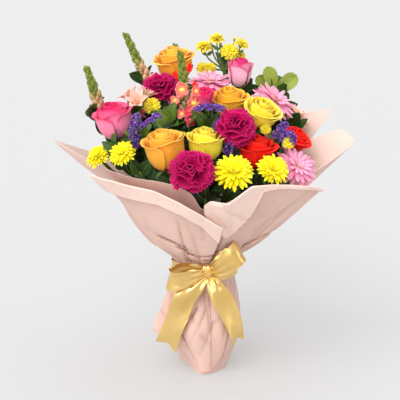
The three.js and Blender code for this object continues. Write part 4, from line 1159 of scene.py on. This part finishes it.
def stem_paint(name):
    """Green stems and twigs, streaked along the height."""
    p = Paint(name, Roughness=0.5, Specular_IOR_Level=0.45)
    draw, tone = p.tones()
    drawn_out = p.node("Mapping", {"Vector": p.spots(), "Scale": (500, 500, 45)}).outputs[0]
    streaks = p.noise(drawn_out, 1.0)
    colour = p.ramp(p.fit(streaks, 0.7, p.fit(tone, 0.3)), (0.25, "41632a"), (0.8, "7d9c46"))
    return p.finish(p.shade(colour, p.fit(draw, 0.3, 0.85)), streaks, strength=0.3, distance=0.0004)


def paper_paint(name):
    """Soft ribbed paper cloth: fine threads along the sheet, faint bands and slubs, and painted shade in its
    creases.
    """
    p = Paint(name, Roughness=0.88, Sheen_Weight=0.25, Subsurface_Weight=0.06, Subsurface_Scale=0.003,
              Specular_IOR_Level=0.2)
    across, length = p.shares()
    crease, side = p.tones()
    threads = p.fibres(2.0, (across, 1100.0), (length, 26.0))
    bands = p.fibres(3.0, (across, 210.0), (length, 5.0))
    cross = p.fibres(2.0, (across, 60.0), (length, 420.0))
    cloud = p.ramp(p.noise(p.spots(), 14.0), (0.35, grey(0)), (0.7, grey(1)))
    # Painted light and shade between the faces: the face with side tone 1 gets lighter copies of the peach,
    # and the face with tone 0 gets darker ones.
    light = p.mix(side, linear("e4c0b2"), linear("f2d3c6"))
    colour = p.mix(cloud, light, p.mix(side, linear("dab2a4"), linear("eac8ba")))
    weave = p.math("ADD", p.fit(threads, 0.6), p.fit(cross, 0.4))
    amount = p.math("ADD", p.fit(weave, 0.24, 0.88), p.fit(bands, 0.1, -0.05))
    # Painted shade in the creases: where the crease tone is low, the paper is mixed towards the brown 96604e.
    colour = p.mix(p.fit(crease, -1.7, 0.85), colour, linear("96604e"))
    return p.finish(p.shade(colour, amount), weave, strength=0.5, distance=0.0006)


def satin_paint(name):
    """Pale gold satin: a bright soft sheen over fine threads that run across the ribbon."""
    p = Paint(name, Roughness=0.28, Metallic=0.85, Specular_IOR_Level=0.8, Coat_Weight=0.5,
              Coat_Roughness=0.24)
    across, length = p.shares()
    lines = p.fibres(2.0, (across, 14.0), (length, 160.0))
    colour = p.ramp(p.noise(p.spots(), 30.0, 2.0), (0.3, "e2b866"), (0.7, "efcc82"))
    return p.finish(p.shade(colour, p.fit(lines, 0.1, 0.95)), lines, strength=0.15, distance=0.0002)


def twine_paint(name):
    """Hairy hemp, straw to pale."""
    p = Paint(name, Roughness=0.9)
    hairs = p.noise(p.spots(), 900.0, 4.0)
    return p.finish(p.ramp(hairs, (0.3, "9c8457"), (0.7, "d8c499")), hairs, strength=0.6, distance=0.0005)


# Petals: name, colours (base, body, edge, heart and its depth), and what differs from the rest.
PETALS = {
    # In the roses, the darker depth colour is painted shade deep in the bloom.
    "orange": ("rose_orange", "fb7c1a ffad32 ffc652 ffcb46 f89c24", dict(streak=0.08)),
    "amber": ("rose_amber", "fdd640 ffc63c ffc83e fdb930 f9a522", dict(streak=0.08)),
    "yellow": ("rose_yellow", "ffe344 ffe63c ffef62 ffde38 fcbe22", dict(streak=0.08)),
    "pink": ("rose_pink", "fdd0d8 fd84ac ec2a70 f22c72 dc1650", dict(streak=0.1)),
    "blush": ("rose_blush", "faeae2 ffbedb e4307a e8307a d41a56", dict(streak=0.1)),
    "magenta": ("rose_magenta", "fdd2e0 f55f98 ee2c70 ee2a6c c41149", dict(streak=0.1, gloss=0.2)),
    "red": ("rose_red", "f41810 ff2014 ff2e1e ff1c12 d00c08", dict(streak=0.08, gloss=0.16)),
    # The carnation's dark base, heart and depth are painted shade in its ruffles and under its crown.
    "purple": ("carnation_purple", "4e0224 ac044e da1c74 a00444 400120",
               dict(ribs=16, spread=0.4, thin=0.1, gloss=0.1)),
    "daisy": ("daisy_yellow", "e4c404 fdea06 fff240", dict(ribs=8, spread=0.12, streak=0.14)),
    "gerbera": ("gerbera_pink", "e2608f f9a9c6 fcd3e0 f290b4 dc5a8a", dict(ribs=10, streak=0.16)),
    "top": ("daisy_lemon", "d4b61c f6de30 fbea62", dict(ribs=8, streak=0.14)),
    "rosy": ("snapdragon_rosy", "e8505a e23450 f2909a", dict(ribs=12)),
    "centre": ("daisy_centre", "e8a08c f8dcb4 fdecca", dict(ribs=6)),
    "peach": ("alstroemeria_peach", "f8b880 fdd2c8 fee4e0 fbbfa6 f7cd74", dict(ribs=18, streak=0.16)),
    "coral": ("snapdragon_coral", "fcd048 f07468 fbb8a6 fbdc5a f8c842", dict(ribs=12)),
    "spike": ("snapdragon_bud", "56641f 74822c a3a848 e0ac90 cf8d70",
              dict(ribs=6, spread=0.5, thin=0.04, tint=(0.08, 0.42))),
    "violet": ("statice_violet", "371e5c 643898 a584c6", dict(ribs=10, spread=0.7)),
    "white": ("statice_white", "b8a8d0 d4c8e4 ece6f4", dict(ribs=6, spread=0.05)),
}
PAINTS = {
    **{key: petal_paint(name, *codes.split(), **more) for key, (name, codes, more) in PETALS.items()},
    "leaf": leaf_paint("leaf_green"),
    "stem": stem_paint("stem_green"),
    "paper": paper_paint("paper_peach"),
    "satin": satin_paint("ribbon_satin"),
    "twine": twine_paint("twine_hemp"),
}


# The pieces

# Slots of the blooms that aren't roses, and the maker, slot and paints of each kind of spray.
BLOOM_SLOTS = {"purple": "carnation_purple", "daisy": "daisy_yellow", "gerbera": "gerbera_pink"}
SPRAY_KINDS = {
    "snapdragon": (snapdragon, "snapdragon_buds", ("spike", "stem", "coral", "red", "rosy")),
    "alstroemeria": (alstroemeria, "alstroemeria_peach", ("peach", "stem", "stem", "top")),
    "daisies": (daisies, "daisy_yellow", ("top", "stem")),
    "statice": (statice, "statice_violet", ("violet", "white", "stem", "top")),
}
DETAILS = {"snapdragon_front": FLORETS, **TUFTS}

for number, (node, (kind, heart, facing, radius, paint)) in enumerate(BLOOMS.items()):
    shape, draw = Shape(), seeded(number + 1)
    shape.stand(heart, facing)
    if kind in FORMS:
        rose(shape, radius, FORMS[kind], -DEPTH[kind], TALL.get(node, 1), draw)
    else:
        {"carnation": carnation, "daisy": daisy, "gerbera": gerbera}[kind](shape, radius, draw)
    slot = BLOOM_SLOTS.get(paint, "rose_" + paint)
    paint = "blush" if (kind, paint) == ("bud", "pink") else paint
    shape.piece(node + "_bloom", slot, [PAINTS[paint], PAINTS["centre"]], node)

for number, (node, (kind, foot, facing, length)) in enumerate(SPRAYS.items()):
    shape, draw = Shape(), seeded(number + 60)
    shape.stand(foot, facing)
    make, slot, paints = SPRAY_KINDS[kind]
    make(shape, length, draw, *([DETAILS[node]] if node in DETAILS else []))
    for place, facing, radius in STRAYS.get(node, ()):
        shape.stand(foot, (0, 0, 1))
        stray(shape, place, facing, radius, draw)
    shape.piece(node + "_spray", slot, [PAINTS[p] for p in paints], node)

every_seat = list(seats())
for sector, name in enumerate(SECTORS):
    members = [s for s in every_seat
               if int((math.degrees(math.atan2(s[0][1], s[0][0])) + 360) % 360 // 60) == sector]
    leafy = greens(sector, members)
    leafy.piece(f"foliage_{name}", "stems_and_leaves", [PAINTS["stem"], PAINTS["leaf"]], f"greens_{name}")

PAPER_HIGH, FULL_CREASE_SHADE = 340, 11  # height of the paper's share map, and depth of the darkest creases
for name, spec in SHEETS.items():
    points, theta, crease_shade = sheet(name, **spec)
    # Painted shade in the creases: the crease tone falls from 0.5 on flat paper to 0 in the darkest creases.
    shape, shaded = Shape(), 0.5 - 0.5 * np.clip(crease_shade[::-1] / FULL_CREASE_SHADE, 0, 1)
    share = np.stack([theta / (2 * np.pi), points[..., 2] / PAPER_HIGH], -1)
    # The two faces get side tones 1 and 0, and so the lighter and the darker painted copies of the peach.
    outside, inside = (np.stack([shaded, side + 0 * shaded], -1) for side in (1, 0))
    shape.petal(points[::-1], PAPER, 0, outside, share[::-1], inside)
    made = shape.piece(f"{name}_sheet", "wrapping_paper", [PAINTS["paper"]], f"wrap_{name}_sheet", sharp=60)
    width, length, area = FLAT[name]

ribbon().piece("ribbon_bow_satin", "satin_ribbon", [PAINTS["satin"]], "ribbon_bow", sharp=60)
twine().piece("binding_twine_strands", "twine", [PAINTS["twine"]], "binding_twine")


# The stage, the lights and the camera

floor_mesh = bpy.data.meshes.new("floor")
floor_mesh.from_pydata([(-30, -30, 0), (30, -30, 0), (30, 30, 0), (-30, 30, 0)], [], [(0, 1, 2, 3)])
floor = bpy.data.objects.new("floor", floor_mesh)
floor_paint = Paint("floor_pale", Base_Color=linear("a6a6a6"), Roughness=0.7, Emission_Color=grey(1),
                    Emission_Strength=0.25)
floor_mesh.materials.append(floor_paint.material)
bpy.context.scene.collection.objects.link(floor)

# Soft distant lamps: the way that each light comes from, its strength and its spread in degrees.
LAMPS = {
    "key": ((-0.5, -0.75, 0.95), 1.75, 55),
    "fill": ((0.7, -0.7, 0.5), 0.15, 70),
    "top": ((0.05, 0.3, 1), 0.5, 60),
    "glint": ((-0.2, -1, 0.7), 0.5, 17),
    "side": ((-0.9, -0.6, 0.24), 0.25, 18),
    "low": ((-0.3, -1, 0.12), 0.22, 15),
    "edge": ((0.9, -0.52, 0.2), 0.16, 18),
}
for name, (way, strength, spread) in LAMPS.items():
    lamp = bpy.data.lights.new(name, "SUN")
    lamp.energy, lamp.angle = strength, math.radians(spread)
    light = bpy.data.objects.new(name, lamp)
    light.rotation_euler = Vector(way).to_track_quat("Z", "Y").to_euler()
    bpy.context.scene.collection.objects.link(light)

# A white dome, brighter upwards, lights the rest.
world = bpy.data.worlds.new("studio")
bpy.context.scene.world = world
world.use_nodes = True
sky, links = world.node_tree.nodes, world.node_tree.links
height = sky.new("ShaderNodeSeparateXYZ")
links.new(sky.new("ShaderNodeTexCoord").outputs["Generated"], height.inputs[0])
dome = sky.new("ShaderNodeMapRange")
for key, value in (("From Min", 0.0), ("From Max", 1.0), ("To Min", 0.45), ("To Max", 1.0)):
    dome.inputs[key].default_value = value
links.new(height.outputs[2], dome.inputs[0])
links.new(dome.outputs[0], sky["Background"].inputs[1])
sky["Background"].inputs[0].default_value = (0.99, 0.995, 1.0, 1)
bpy.context.scene.view_settings.view_transform = "Standard"

ELEVATION, DISTANCE, ACROSS = math.radians(15), 2.2, 0.54
TARGET = Vector((-0.0054, 0, 0.2334))
camera_data = bpy.data.cameras.new("camera")
camera_data.sensor_width = 36
camera_data.lens = 36 * DISTANCE / ACROSS
camera = bpy.data.objects.new("camera", camera_data)
back = Vector((0, -math.cos(ELEVATION), math.sin(ELEVATION)))
camera.location = TARGET + back * DISTANCE
camera.rotation_euler = (-back).to_track_quat("-Z", "Y").to_euler()
bpy.context.scene.collection.objects.link(camera)
bpy.context.scene.camera = camera
